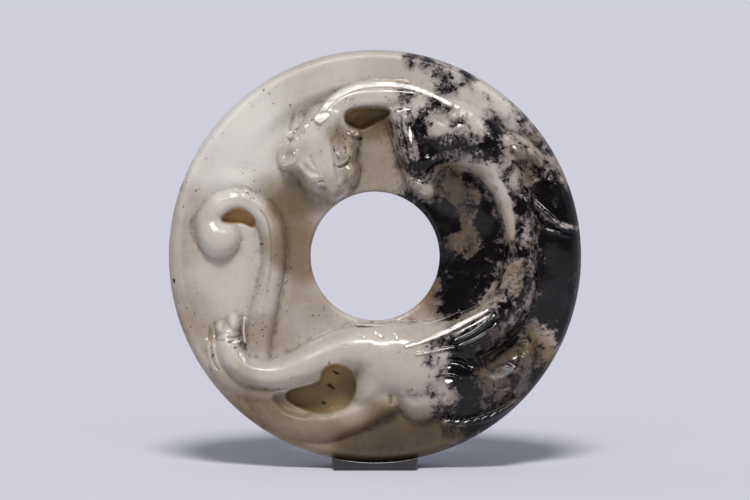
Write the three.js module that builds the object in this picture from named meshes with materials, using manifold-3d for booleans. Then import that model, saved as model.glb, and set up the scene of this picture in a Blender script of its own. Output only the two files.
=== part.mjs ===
// Jade bi disc with a hornless dragon (chilong) carved in high relief on its front face,
// standing upright in a small dark cradle. Millimetres, +Z up, the carved face towards -Y.
// The origin is in the middle of the cradle's underside.
import * as THREE from 'three';
import { mergeVertices } from 'three/addons/utils/BufferGeometryUtils.js';
import Module from 'manifold-3d';

// Driving dimensions
const discRadius = 28;
const holeRadius = 8.75;
const groundFront = 3;      // ground of the carving, in front of the disc's middle plane
const backFace = 3.2;       // plain polished back, behind the middle plane
const rimRound = 1.1;       // how far in the rim starts to round off, front and back
const rimFlat = 0.9;        // half width of the rim's outermost band
const boreRound = 0.6;      // soft edge of the central hole
const dishDepth = 0.5;      // how far the ground sinks towards the hole
const dishRadius = 17;      // the ground is level outside this radius

const rootDepth = 1;        // how far a carved form is carried on below the ground
const boxiness = 0.9;       // 1 gives a limb a half-round section, less gives it fuller shoulders
const slimLimb = 1.4;       // a limb that starts with less half width than this has fewer sides
const hollowMouth = 7;      // the hollows are cut through everything up to this height
const hollowCorner = { reach: 0.35, rise: 0.6 };   // how the drilled hollows round off at the floor

// How finely the curves are divided
const angularSteps = 112;
const seatSteps = 180;
const rimSteps = 3;
const boreSteps = 2;
const domeSides = 8;
const slimDomeSides = 5;
const limbEndSteps = 2;
const bevelSteps = 2;
const knobSteps = { round: 16, fromEndToEnd: 10 };

const lean = THREE.MathUtils.degToRad(4);   // the disc leans back in its cradle
const discCentre = new THREE.Vector3(0, 0.9, 28.7);

const cradleWidth = 11.8;
const cradleFootWidth = 11;
const cradleDepth = 11;
const cradleTipHeight = 1.75;
const backLipDepth = 3.2;
const backLipHeight = 3.4;
const seatGap = 0.3;

// The carving. Places are in the disc's own plane: x to the right and z up from its centre.
// A limb's rows are x, z, half width and height over the ground, from one end to the other.
const limbs = {
  bankOutsideNeck: [
    [-11.2, 18.6, 3.8, 1.7], [-7.2, 21.7, 4.2, 2], [-1, 22.7, 4.3, 2], [5, 22.1, 4.2, 1.9], [11, 20, 4, 1.8],
  ],
  tail: [
    [1.5, -19.5, 2.1, 2.4], [-2, -21.5, 2, 1.8], [-6.5, -22.9, 2, 1.4], [-11.2, -22.2, 2.1, 1.3],
    [-14.4, -20.1, 2, 1.4], [-15.9, -16.6, 1.8, 1.5], [-15.8, -11.5, 1.8, 1.8], [-14.8, -6, 1.75, 2],
    [-13.8, -1.5, 1.65, 2.1], [-13.7, 2, 1.65, 2.2], [-14.6, 5, 1.8, 2.3], [-16.6, 7, 1.7, 2.4],
    [-19, 7.6, 1.65, 2.4], [-21.4, 6.7, 1.75, 2.5], [-22.6, 4.6, 1.8, 2.5],
  ],
  neck: [
    [-6.1, 17, 2.2, 3.3], [-5.7, 19, 2.6, 3.5], [-4.2, 20.8, 2.5, 3.6], [-2, 21.7, 2.4, 3.6], [0.6, 22, 2.4, 3.6],
    [3.4, 21.8, 2.4, 3.6], [6.1, 21.2, 2.4, 3.6], [8.9, 20.1, 2.5, 3.6], [11.8, 18.4, 2.7, 3.7],
    [14.6, 16.2, 3, 3.8], [16.9, 12.8, 2.7, 3.8],
  ],
  body: [
    [12, 17.2, 3.4, 3.8], [15.4, 13.8, 3.2, 3.9], [18.2, 9.4, 2.85, 3.8], [19.6, 4.5, 2.5, 3.7],
    [19.8, -0.5, 2.5, 3.7], [18.9, -5.2, 2.8, 3.8], [16.3, -8.9, 3.1, 3.9], [12, -11.4, 3.4, 4],
    [7.5, -12.6, 3.7, 4.1], [3, -13, 3.9, 4.1],
  ],
  forelegFront: [[4.2, 18.6, 1.3, 4.1], [4.8, 15.6, 1.2, 4.1], [5.4, 12.4, 1.1, 3.5]],
  nearHindLeg: [
    [0, -12.8, 3.4, 4.1], [-4, -12.8, 3, 4.1], [-8, -14.2, 2.7, 4], [-11.5, -15.6, 2.3, 3.8],
    [-14.8, -16.1, 2.1, 3.7], [-17.6, -15.4, 2.1, 3.6], [-19.4, -13.4, 1.9, 3.4], [-19.9, -11.2, 1.7, 2.9],
  ],
  slopeBelowLeg: [
    [-9, -17.4, 1.5, 1.8], [-13.4, -18.2, 1.7, 1.7], [-18, -17.3, 1.7, 1.6], [-21.4, -13.6, 1.3, 1.5],
  ],
  innerToe: [[-17.5, -8.5, 0.5, 1.9], [-17.8, -10.8, 0.6, 2.4]],
  noseBridge: [
    [-7.5, 16.6, 1.1, 4.1], [-7.1, 14.2, 1.1, 4.5], [-6.4, 11.9, 1.1, 4.7], [-5.8, 10, 1.5, 4],
    [-5.4, 8.9, 1.5, 3.3],
  ],
  lipFold: [[-11.4, 11.9, 0.7, 3], [-10, 10.9, 0.8, 3.3], [-8.8, 9.8, 0.9, 3.4], [-7.4, 9.3, 0.9, 3.3]],
  earEdge: [[-10.3, 15, 0.4, 3.9], [-10.7, 13.4, 0.45, 3.9], [-12.4, 12.1, 0.5, 3.3]],
  wispBehindBack: [
    [21.2, 9.4, 0.4, 0.7], [21, 8.2, 0.4, 0.7], [23.1, 5.9, 0.45, 0.8], [25.4, 4.1, 0.45, 0.7],
  ],
};

// Flat-topped forms with rounded shoulders: an outline of x, z, the height over the ground and
// how far in from the outline the shoulder reaches
const plates = {
  shoulder: {
    outline: [
      [2.2, 19.6], [2.1, 17], [2.8, 14], [3.8, 11.2], [4.9, 9.3], [6.4, 8.4], [7.9, 8.7], [8, 10.3],
      [9, 11.6], [10.9, 12.1], [12.9, 11.4], [14.9, 9.7], [17.6, 9], [18.9, 12], [17.6, 16], [13.5, 19.4],
      [8, 21.2], [4, 21],
    ],
    top: 3.6,
    reach: 0.9,
  },
  farForepaw: {
    outline: [
      [17.2, 16.4], [20, 15.7], [22, 14], [23.8, 12.2], [25, 10.6], [24.6, 9.5], [23, 9.5], [21.9, 11.6],
      [20.6, 12.9], [17, 13.6],
    ],
    top: 2.2,
    reach: 0.6,
  },
  haunches: {
    outline: [
      [-2.8, -12.6], [-2.7, -16.4], [-2.8, -19], [-1.8, -20.7], [0.6, -20.8], [2.1, -19.8], [3.2, -20.7],
      [4.6, -22], [6.4, -22.5], [8.6, -22.2], [11.5, -22.8], [14.4, -22.5], [17.2, -20.9], [19.4, -18.9],
      [18.6, -16.2], [15.4, -14], [12, -11], [6, -10], [1, -10],
    ],
    top: 3.2,
    reach: 1.7,
  },
  farHindPaw: {
    outline: [
      [14.8, -15.4], [16.6, -13.6], [18.6, -12.2], [20.6, -11.6], [21.8, -12.7], [21.6, -14.6], [20.8, -16.8],
      [19.4, -18.6], [17.2, -19], [15.2, -17.8],
    ],
    top: 2.7,
    reach: 1.2,
  },
  head: {
    outline: [
      [-7.6, 20.2], [-9.8, 18.4], [-11, 16.6], [-12.4, 15.5], [-13.1, 14], [-13.2, 12.6], [-12.4, 11.6],
      [-11, 11.1], [-9.9, 9.5], [-8.5, 8.6], [-7.1, 8], [-5.8, 7.5], [-4.6, 7.9], [-3.5, 8.8], [-3, 10.3],
      [-2.6, 12.4], [-2.4, 14.4], [-2.1, 15.8], [-2.7, 17.6], [-4.2, 19.8],
    ],
    top: 3.5,
    reach: 0.9,
  },
};

// Rounded knobs: x, z, two radii, how far the first is turned, in degrees, and the height over the ground
const knobs = {
  tailBulb: [-21.1, 2.5, 2.9, 2.8, 20, 3],
  rump: [4.4, -14.2, 6.2, 4.6, -10, 5.1],
  farThigh: [11.6, -16.6, 3.6, 3.9, 0, 4],
  shoulderBlade: [10.2, 16.2, 4.2, 3.2, -25, 4.5],
  farElbow: [19, 14.5, 1.6, 1, -30, 4],
  farHeel: [17.4, -16.6, 2.6, 1.7, 25, 3.3],
  farToe: [20.2, -13.4, 1.3, 1.2, 50, 3.1],
  middleToe: [-19.1, -9.5, 1, 1.6, 0, 3],
  outerToe: [-20.9, -10.1, 0.8, 1.3, 8, 2.6],
  rightBrow: [-3.9, 13.6, 1.1, 1.3, -10, 4.3],
  rightCheek: [-3.8, 11.1, 1.1, 1.5, 8, 4.1],
  leftEye: [-9.3, 12.8, 0.9, 1.3, 22, 4],
  rightEar: [-3.2, 16.75, 1.4, 0.8, -14, 4.3],
};

// Drilled hollows: an outline of x, z, and the level of the floor against the ground
const hollows = {
  besideHindLeg: {
    outline: [
      [-5, -14.9], [-3.6, -15.5], [-2.8, -17], [-2.9, -18.9], [-3.8, -20.2], [-5.4, -20.7], [-8, -21],
      [-10.6, -20.2], [-12, -19.1], [-11.4, -18.3], [-8.6, -17.6], [-7.4, -16.9], [-7, -15.8], [-6.2, -15.1],
    ],
    floor: -2,
  },
  underNeck: {
    outline: [
      [-3.8, 18.9], [-3.2, 19.7], [-1.8, 20], [0.4, 20], [1.8, 19.6], [1.6, 18.2], [-0.4, 17.5], [-2.2, 17.6],
      [-3.4, 18.1],
    ],
    floor: -2,
  },
  underTailCurl: {
    outline: [
      [-20.6, 5], [-20.2, 5.8], [-19, 6.3], [-17.6, 6.1], [-16.5, 5], [-16.6, 4.2], [-18, 4.5], [-19.6, 4.5],
    ],
    floor: -1,
  },
};

const wasm = await Module();
wasm.setup();

function toSolid(geometry, matrix = new THREE.Matrix4()) {
  const bare = geometry.clone().applyMatrix4(matrix);
  bare.deleteAttribute('normal');
  bare.deleteAttribute('uv');
  const merged = mergeVertices(bare, 1e-4);
  const vertProperties = new Float32Array(merged.getAttribute('position').array);
  const triVerts = new Uint32Array(merged.getIndex().array);
  return new wasm.Manifold(new wasm.Mesh({ numProp: 3, vertProperties, triVerts }));
}

function toGeometry(solid) {
  const { vertProperties, triVerts } = solid.getMesh();
  const geometry = new THREE.BufferGeometry();
  geometry.setAttribute('position', new THREE.BufferAttribute(vertProperties, 3));
  geometry.setIndex(new THREE.BufferAttribute(triVerts, 1));
  return geometry;
}

// A smooth run of points through hand-placed rows, keeping every column of the rows
function smoothRun(rows, stepsPerSpan = 2) {
  const spline = (p0, p1, p2, p3, t) => 0.5 * (2 * p1 + (p2 - p0) * t
    + (2 * p0 - 5 * p1 + 4 * p2 - p3) * t * t + (3 * p1 - p0 - 3 * p2 + p3) * t * t * t);
  const mirrorEnd = (end, next) => end.map((value, i) => 2 * value - next[i]);
  const padded = [mirrorEnd(rows[0], rows[1]), ...rows, mirrorEnd(rows.at(-1), rows.at(-2))];
  const run = [];
  for (let i = 1; i < padded.length - 2; i += 1) {
    for (let k = 0; k < stepsPerSpan; k += 1) {
      const t = k / stepsPerSpan;
      run.push(padded[i].map((_, c) => spline(
        padded[i - 1][c], padded[i][c], padded[i + 1][c], padded[i + 2][c], t)));
    }
  }
  run.push(rows.at(-1));
  return run;
}

// Domed cross-section of a carved form, as places across it and over the ground
function domedSection(halfWidth, top, dividedInto) {
  const points = [[halfWidth, -rootDepth]];
  for (let i = 0; i <= dividedInto; i += 1) {
    const turn = (i / dividedInto) * Math.PI;
    const across = Math.sign(Math.cos(turn)) * Math.abs(Math.cos(turn)) ** boxiness;
    points.push([across * halfWidth, top * Math.sin(turn) ** boxiness]);
  }
  points.push([-halfWidth, -rootDepth]);
  return points;
}

// Sweeps the domed section along rows of x, z, half width and height, rounding off both ends
function limbGeometry(rows) {
  const run = smoothRun(rows);
  const dividedInto = rows[0][2] < slimLimb ? slimDomeSides : domeSides;
  const stations = run.map(([x, z, halfWidth, height], i) => {
    const [before, after] = [run[Math.max(i - 1, 0)], run[Math.min(i + 1, run.length - 1)]];
    const along = new THREE.Vector2(after[0] - before[0], after[1] - before[1]).normalize();
    return { x, z, halfWidth, height, along, share: 1 };
  });
  // The last ring of an end stops a little short of a point, so that no side of it is of no size
  const endCaps = (end, direction) => Array.from({ length: limbEndSteps }, (_, i) => {
    const turn = ((i + 1) / (limbEndSteps + 0.35)) * Math.PI / 2;
    const reach = direction * end.halfWidth * Math.sin(turn);
    return { ...end, x: end.x + end.along.x * reach, z: end.z + end.along.y * reach, share: Math.cos(turn) };
  });
  const rings = [...endCaps(stations[0], -1).reverse(), ...stations, ...endCaps(stations.at(-1), 1)];
  const positions = [];
  for (const { x, z, halfWidth, height, along, share } of rings) {
    for (const [across, over] of domedSection(halfWidth * share, height * share, dividedInto)) {
      positions.push(x - along.y * across, -groundFront - over, z + along.x * across);
    }
  }
  const sides = positions.length / 3 / rings.length;
  const index = [];
  for (let i = 0; i + 1 < rings.length; i += 1) {
    for (let k = 0; k < sides; k += 1) {
      const [a, b] = [i * sides + k, i * sides + ((k + 1) % sides)];
      index.push(a, b, a + sides, b, b + sides, a + sides);
    }
  }
  const last = (rings.length - 1) * sides;
  for (let k = 1; k + 1 < sides; k += 1) {
    index.push(0, k + 1, k);
    index.push(last, last + k, last + k + 1);
  }
  const geometry = new THREE.BufferGeometry();
  geometry.setAttribute('position', new THREE.Float32BufferAttribute(positions, 3));
  geometry.setIndex(index);
  return geometry;
}

// An extruded outline in the disc's plane, from one level to a higher one, its edges rounded off
function outlineGeometry(outline, low, high, reach, rise) {
  const shape = new THREE.Shape(outline.map(([x, z]) => new THREE.Vector2(x, z)));
  const geometry = new THREE.ExtrudeGeometry(shape, {
    depth: high - low - 2 * rise,
    bevelEnabled: true,
    bevelSize: reach,
    bevelOffset: -reach,
    bevelThickness: rise,
    bevelSegments: bevelSteps,
  });
  geometry.translate(0, 0, groundFront + low + rise);
  return geometry.rotateX(Math.PI / 2);
}

function plateGeometry({ outline, top, reach }) {
  return outlineGeometry(outline, -rootDepth - reach, top, reach, reach);
}

function hollowGeometry({ outline, floor }) {
  return outlineGeometry(outline, floor, hollowMouth, hollowCorner.reach, hollowCorner.rise);
}

function knobGeometry([x, z, across, along, degrees, top]) {
  const geometry = new THREE.SphereGeometry(1, knobSteps.round, knobSteps.fromEndToEnd);
  geometry.scale(across, top, along);
  geometry.rotateY(-THREE.MathUtils.degToRad(degrees));
  return geometry.translate(x, -groundFront, z);
}

// Quarter ellipse between two places of the disc's section, as places of radius and depth
function quarterTurn(from, to, bulgeOut, steps) {
  const points = [];
  for (let i = 1; i < steps; i += 1) {
    const turn = (i / steps) * Math.PI / 2;
    const [s, c] = bulgeOut ? [Math.sin(turn), 1 - Math.cos(turn)] : [1 - Math.cos(turn), Math.sin(turn)];
    points.push(new THREE.Vector2(from.x + s * (to.x - from.x), from.y + c * (to.y - from.y)));
  }
  return points;
}

// The disc's section through one radius, walked round from the bore's front edge
function discSection() {
  const boreGround = groundFront - dishDepth;
  const faceInner = new THREE.Vector2(holeRadius + boreRound, -boreGround);
  const faceOuter = new THREE.Vector2(discRadius - rimRound, -groundFront);
  const rimFront = new THREE.Vector2(discRadius, -rimFlat);
  const rimBack = new THREE.Vector2(discRadius, rimFlat);
  const backOuter = new THREE.Vector2(discRadius - rimRound, backFace);
  const backInner = new THREE.Vector2(holeRadius + boreRound, backFace);
  const boreBack = new THREE.Vector2(holeRadius, backFace - boreRound);
  const boreFront = new THREE.Vector2(holeRadius, -boreGround + boreRound);
  const section = [faceInner];
  for (const share of [1 / 3, 2 / 3, 1]) {
    const radius = THREE.MathUtils.lerp(faceInner.x, dishRadius, share);
    const rise = THREE.MathUtils.smoothstep(share, 0, 1);
    section.push(new THREE.Vector2(radius, -boreGround - dishDepth * rise));
  }
  section.push(faceOuter, ...quarterTurn(faceOuter, rimFront, true, rimSteps), rimFront);
  section.push(rimBack, ...quarterTurn(rimBack, backOuter, false, rimSteps), backOuter);
  section.push(backInner, ...quarterTurn(backInner, boreBack, true, boreSteps), boreBack);
  section.push(boreFront, ...quarterTurn(boreFront, faceInner, false, boreSteps), faceInner.clone());
  return section;
}

function jadeDisc() {
  let solid = toSolid(new THREE.LatheGeometry(discSection(), angularSteps));
  for (const rows of Object.values(limbs)) solid = solid.add(toSolid(limbGeometry(rows)));
  for (const plate of Object.values(plates)) solid = solid.add(toSolid(plateGeometry(plate)));
  for (const knob of Object.values(knobs)) solid = solid.add(toSolid(knobGeometry(knob)));
  for (const hollow of Object.values(hollows)) solid = solid.subtract(toSolid(hollowGeometry(hollow)));
  const jade = new THREE.MeshStandardMaterial({ color: 0xcfc6b4, roughness: 0.22, metalness: 0 });
  const mesh = new THREE.Mesh(toGeometry(solid), jade);
  mesh.name = 'jade_disc';
  mesh.position.copy(discCentre);
  mesh.rotation.x = -lean;
  return mesh;
}

// A block under the rim: flat foot, flared sides and a top that follows the rim's curve
function cradleBlock(tipHeight, depth) {
  const tip = cradleWidth / 2;
  const foot = cradleFootWidth / 2;
  const dip = discRadius - Math.sqrt(discRadius ** 2 - tip ** 2);
  const outline = new THREE.Shape();
  outline.moveTo(-foot, 0);
  outline.lineTo(foot, 0);
  outline.lineTo(tip, tipHeight);
  outline.quadraticCurveTo(0, tipHeight - 2 * dip, -tip, tipHeight);
  outline.closePath();
  return new THREE.ExtrudeGeometry(outline, { depth, bevelEnabled: false, curveSegments: 16 });
}

// The room the disc takes in its cradle: its rim with the seat's gap all round
function seatCutter() {
  const half = groundFront + seatGap;
  const outer = discRadius + seatGap;
  const section = [
    new THREE.Vector2(0, -half),
    new THREE.Vector2(outer - rimRound, -half),
    new THREE.Vector2(outer, -rimFlat - seatGap),
    new THREE.Vector2(outer, rimFlat + seatGap),
    new THREE.Vector2(outer - rimRound, backFace + seatGap),
    new THREE.Vector2(0, backFace + seatGap),
  ];
  return new THREE.LatheGeometry(section, seatSteps);
}

function displayCradle() {
  const upright = new THREE.Matrix4().makeRotationX(Math.PI / 2);
  const front = new THREE.Matrix4().makeTranslation(0, cradleDepth / 2, 0).multiply(upright);
  const seat = new THREE.Matrix4().makeTranslation(discCentre);
  seat.multiply(new THREE.Matrix4().makeRotationX(-lean));
  const block = toSolid(cradleBlock(cradleTipHeight, cradleDepth), front);
  const backLip = toSolid(cradleBlock(backLipHeight, backLipDepth), front);
  const solid = block.add(backLip).subtract(toSolid(seatCutter(), seat));
  const lacquer = new THREE.MeshStandardMaterial({ color: 0x14100f, roughness: 0.25, metalness: 0 });
  const mesh = new THREE.Mesh(toGeometry(solid), lacquer);
  mesh.name = 'display_cradle';
  return mesh;
}

const group = new THREE.Group();
group.add(jadeDisc(), displayCradle());

export default group;
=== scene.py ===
import math

import bmesh
import bpy
import numpy as np
from mathutils import Matrix, Vector


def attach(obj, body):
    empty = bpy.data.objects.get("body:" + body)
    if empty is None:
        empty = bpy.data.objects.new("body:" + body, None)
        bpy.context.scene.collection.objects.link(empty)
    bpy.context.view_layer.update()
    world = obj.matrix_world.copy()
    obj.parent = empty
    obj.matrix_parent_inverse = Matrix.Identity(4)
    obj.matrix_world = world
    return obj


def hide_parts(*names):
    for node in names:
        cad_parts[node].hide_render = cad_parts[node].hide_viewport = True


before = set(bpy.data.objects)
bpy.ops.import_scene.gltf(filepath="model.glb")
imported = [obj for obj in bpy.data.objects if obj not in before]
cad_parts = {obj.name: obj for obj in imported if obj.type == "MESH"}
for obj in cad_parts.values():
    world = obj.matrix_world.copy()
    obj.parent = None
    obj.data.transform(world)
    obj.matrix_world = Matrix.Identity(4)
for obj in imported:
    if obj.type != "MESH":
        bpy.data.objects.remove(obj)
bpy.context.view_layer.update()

MM = 0.001

# Sizes of the disc, in millimetres. Its front looks along -Y; x and z are measured from its centre.
DISC_RADIUS = 28.0
HOLE_RADIUS = 8.75
GROUND_FRONT = 3.0       # depth of the front's ground before the middle plane
BACK_FACE = 3.2          # depth of the back behind it
RIM_ROUND = 1.1          # how far the rim's edges round in over each face
RIM_FLAT = 0.9           # half the width of the rim that stays straight
BORE_ROUND = 0.6

# How the disc stands in its cradle: it leans back, with its centre here
LEAN = math.radians(4)
DISC_CENTRE = Vector((0, 0.9, 28.7))

# Power of the curve from a form's top down to its flank: lower is fuller
SHOULDER_CURVE = 0.62
# Slope at which polished stone mirrors the key light to the camera
SLOPE_TO_LIGHT = 0.41


# Smooth steps, runs and outlines on the disc's face

def smooth_step(low, high, value):
    """0 below low, 1 above high, and an even ease between them"""
    t = np.clip((value - low) / (high - low), 0, 1)
    return t * t * (3 - 2 * t)


def smooth_run(rows, steps=8, closed=False):
    """A smooth run through all the rows, whose columns after x and z change along it in the same way"""
    rows = np.array(rows, float)
    if closed:
        padded = np.vstack([rows[-1], rows, rows[0], rows[1]])
    else:
        padded = np.vstack([2 * rows[0] - rows[1], rows, 2 * rows[-1] - rows[-2]])
    run = []
    for p0, p1, p2, p3 in zip(padded, padded[1:], padded[2:], padded[3:]):
        for k in range(steps):
            t = k / steps
            run.append(0.5 * (2 * p1 + (p2 - p0) * t + (2 * p0 - 5 * p1 + 4 * p2 - p3) * t ** 2
                              + (3 * p1 - p0 - 3 * p2 + p3) * t ** 3))
    run.append(rows[0] if closed else rows[-1])
    return np.array(run)


def nearest(x, z, run):
    """For each place: its distance from the run and, at the run's nearest place, the run's other columns, the
    length along it and the distance to the left of its way. Last comes the run's full length."""
    best = np.full(x.shape, np.inf)
    values = np.zeros(x.shape + (run.shape[1] - 2,))
    along = np.zeros(x.shape)
    side = np.zeros(x.shape)
    length = 0.0
    for a, b in zip(run, run[1:]):
        span = b[:2] - a[:2]
        size = np.hypot(*span) + 1e-9
        dx, dz = x - a[0], z - a[1]
        t = np.clip((dx * span[0] + dz * span[1]) / size ** 2, 0, 1)
        distance = np.hypot(dx - t * span[0], dz - t * span[1])
        closer = distance < best
        best = np.where(closer, distance, best)
        values[closer] = a[2:] + t[closer, None] * (b[2:] - a[2:])
        along = np.where(closer, length + t * size, along)
        side = np.where(closer, (dz * span[0] - dx * span[1]) / size, side)
        length += size
    return best, values, along, side, length


def inside_of(x, z, run):
    """Whether each place lies inside a closed run"""
    inside = np.zeros(x.shape, bool)
    for a, b in zip(run, run[1:]):
        crosses = (a[1] > z) != (b[1] > z)
        rise = b[1] - a[1] if abs(b[1] - a[1]) > 1e-12 else 1e-12
        inside ^= crosses & (x < a[0] + (z - a[1]) / rise * (b[0] - a[0]))
    return inside


def signed_depth(x, z, outline, steps=3):
    """Distance inside (positive) or outside (negative) an outline"""
    run = smooth_run(outline, steps=steps, closed=True)
    distance = nearest(x, z, run)[0]
    return np.where(inside_of(x, z, run), distance, -distance)


def turned(dx, dz, across, along, turn):
    """Places along a shape's own x and z, as shares of its half sizes across and along; turn is in degrees
    to the left."""
    angle = np.radians(turn)
    return ((dx * np.cos(angle) + dz * np.sin(angle)) / across,
            (dz * np.cos(angle) - dx * np.sin(angle)) / along)


class Carving:
    """Height of the carved face over its ground, at places x, z on the disc.

    Each method adds one kind of form. Forms are joined with a fillet, and their lengths are in millimetres.
    """

    def __init__(self, x, z):
        self.x, self.z = x, z
        self.height = np.zeros_like(x)

    def near(self, run, margin):
        """The places within a run's box and a margin round it, so that each form is worked out only there"""
        low, high = run[:, :2].min(0) - margin, run[:, :2].max(0) + margin
        return (self.x > low[0]) & (self.x < high[0]) & (self.z > low[1]) & (self.z < high[1])

    def join(self, where, form, fillet):
        """The higher of the face and a form, with a fillet where they meet"""
        here = self.height[where]
        filling = np.maximum(fillet - np.abs(here - form), 0) ** 2 / (4 * fillet)
        self.height[where] = np.maximum(here, form) + filling

    def limb(self, rows, roundness=2.4, fillet=0.9, flank=4.0, tilt=0.0):
        """A rounded form along a run. Its rows are x, z, half width, top and perhaps tilt; a tilted top falls
        to the left of the limb's way."""
        run = smooth_run(rows)
        where = self.near(run, run[:, 2].max() + 1.5)
        distance, values, _, side, _ = nearest(self.x[where], self.z[where], run)
        half, top = values[:, 0], values[:, 1]
        if values.shape[1] > 2:
            tilt = values[:, 2]
        dome = top * (1 - np.minimum(distance / half, 1) ** roundness) ** SHOULDER_CURVE
        dome -= tilt * np.clip(side, -half, half)
        self.join(where, dome - np.maximum(distance - half, 0) * flank, fillet)

    def plate(self, outline, top, shoulder=1.6, roundness=2.2, fillet=0.9, flank=4.0):
        """A flat-topped form with rounded shoulders; top may be a function of x, z"""
        run = smooth_run(outline, steps=6, closed=True)
        where = self.near(run, 1.5)
        x, z = self.x[where], self.z[where]
        distance = nearest(x, z, run)[0]
        inside = inside_of(x, z, run)
        level = top(x, z) if callable(top) else top
        reach = np.clip(1 - distance / shoulder, 0, 1)
        form = np.where(inside, level * (1 - reach ** roundness) ** SHOULDER_CURVE, -distance * flank)
        self.join(where, form, fillet)

    def knob(self, x, z, across, along, turn, top, fillet=0.35, roundness=2.2, base=0.0, flank=5.0):
        """A dome on an oval foot, which rises from base to top"""
        where = self.near(np.array([[x, z]]), max(across, along) + 1.2)
        distance = np.hypot(*turned(self.x[where] - x, self.z[where] - z, across, along, turn))
        dome = base + (top - base) * np.sqrt(1 - np.minimum(distance, 1) ** roundness)
        self.join(where, dome - np.maximum(distance - 1, 0) * min(across, along) * flank, fillet)

    def swell(self, x, z, across, along, turn, amount):
        """A soft rise (amount > 0) or dip (amount < 0) without an edge"""
        where = self.near(np.array([[x, z]]), 2.6 * max(across, along))
        u, v = turned(self.x[where] - x, self.z[where] - z, across, along, turn)
        self.height[where] += amount * np.exp(-u * u - v * v)

    def facet(self, x, z, across, along, turn, towards=0.0):
        """Planes a small oval spot flat, sloping to the light; turn and towards are in degrees to the left"""
        way = np.radians(towards)
        where = self.near(np.array([[x, z]]), 1.3 * max(across, along))
        dx, dz = self.x[where] - x, self.z[where] - z
        distance = np.hypot(*turned(dx, dz, across, along, turn))
        here = self.height[where]
        if np.any(distance < 1):
            level = here[distance < 1].mean()
            plane = level - SLOPE_TO_LIGHT * (dz * np.cos(way) - dx * np.sin(way))
            self.height[where] = here + smooth_step(1.25, 0.85, distance) * (plane - here)

    def line(self, rows, width, amount):
        """A raised (amount > 0) or incised (amount < 0) line that fades out at both ends"""
        run = smooth_run(rows)
        where = self.near(run, 3 * width)
        distance, _, along, _, length = nearest(self.x[where], self.z[where], run)
        fade_in = smooth_step(0, 0.25 * length, along + 0.04 * length)
        fade_out = smooth_step(0, 0.25 * length, 1.04 * length - along)
        fade = fade_in * fade_out
        self.height[where] += amount * fade * np.exp(-(distance / width) ** 2)

    def basin(self, outline, floor, lip=0.4):
        """A hollow cut down to its floor, with walls as wide as the lip"""
        where = self.near(smooth_run(outline, steps=6, closed=True), 1.5)
        depth = signed_depth(self.x[where], self.z[where], outline, steps=6)
        inside = smooth_step(-0.5, 0.5, depth / lip)
        here = self.height[where]
        self.height[where] = here + inside * (np.minimum(here, floor) - here)


# The dragon, form by form. Each function carves into c, a Carving.

def carve_ground(c):
    """The ground dips towards the hole and swells outside the neck and round the tail's curl"""
    c.height += -0.5 * (1 - smooth_step(9.5, 17, np.hypot(c.x, c.z)))
    c.swell(-17, 13.5, 8, 5.5, 25, 1.5)
    c.swell(-18.2, 10.0, 3.6, 1.5, -8, 0.7)
    c.swell(24.5, 1.5, 3.0, 11, 0, 1.3)
    radius, bearing = np.hypot(c.x, c.z), np.degrees(np.arctan2(c.z, c.x))
    near_rim = smooth_step(21.0, 23.8, radius)
    c.height += 1.9 * (near_rim * smooth_step(30, 52, bearing) * smooth_step(152, 108, bearing))
    c.swell(-19.5, -16.5, 4.5, 2.2, -48, 1.0)
    c.line([(-25.6, 7.4), (-26.2, 4.5), (-26.4, 0.5), (-26.1, -4), (-24.6, -9.2)], 0.45, 0.22)


def carve_tail(c):
    """The tail leaves the rump under the pit, climbs the left side and curls round to a bulb"""
    c.limb([(1.5, -19.5, 2.1, 2.4), (-2.0, -21.5, 2.0, 1.7), (-6.5, -23.0, 2.0, 1.3),
            (-11.2, -22.4, 2.1, 1.2), (-14.4, -20.2, 2.1, 1.2), (-15.8, -17.0, 1.9, 1.4),
            (-15.9, -12.8, 1.8, 1.7), (-15.5, -9.5, 1.85, 1.9), (-14.6, -5.5, 1.75, 2.0),
            (-13.75, -1.5, 1.65, 2.1), (-13.65, 1.8, 1.65, 2.2), (-14.4, 4.8, 1.8, 2.3),
            (-16.4, 6.9, 1.7, 2.3), (-18.8, 7.6, 1.6, 2.3), (-21.2, 6.8, 1.7, 2.4), (-22.5, 4.9, 1.8, 2.4),
            (-22.3, 3.2, 2.0, 2.4)], roundness=2.6, fillet=1.1, flank=2.6)
    c.knob(-21.1, 2.5, 2.9, 2.8, 20, 2.9, fillet=1.3, roundness=2.0)
    # the flat band has a crease down its length and a fine step along its outer edge
    c.line([(-16.6, 7.0), (-15.1, 5.6), (-14.3, 3.6), (-14.15, 1.2), (-14.2, -1.8), (-14.9, -5.6)],
           0.17, -0.26)
    c.line([(-13.6, 6.3), (-12.5, 4.0), (-12.1, 1.2), (-12.3, -2.5), (-13.1, -6.6)], 0.16, -0.3)
    c.line([(-23.4, 0.6), (-24.6, 2.2), (-24.9, 4.2), (-24.5, 5.8)], 0.25, -0.25)
    # fine strands beside the arch
    for start, end in [((-20.9, 7.4), (-19.3, 7.75)), ((-20.0, 8.5), (-17.9, 8.1)), ((-19.5, 9.2),
                       (-17.2, 8.0)), ((-18.7, 9.45), (-16.0, 8.0)), ((-18.0, 9.8), (-16.2, 8.7))]:
        middle = ((start[0] + end[0]) / 2, (start[1] + end[1]) / 2 + 0.22)
        c.line([start, middle, end], 0.13, 0.13)


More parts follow.
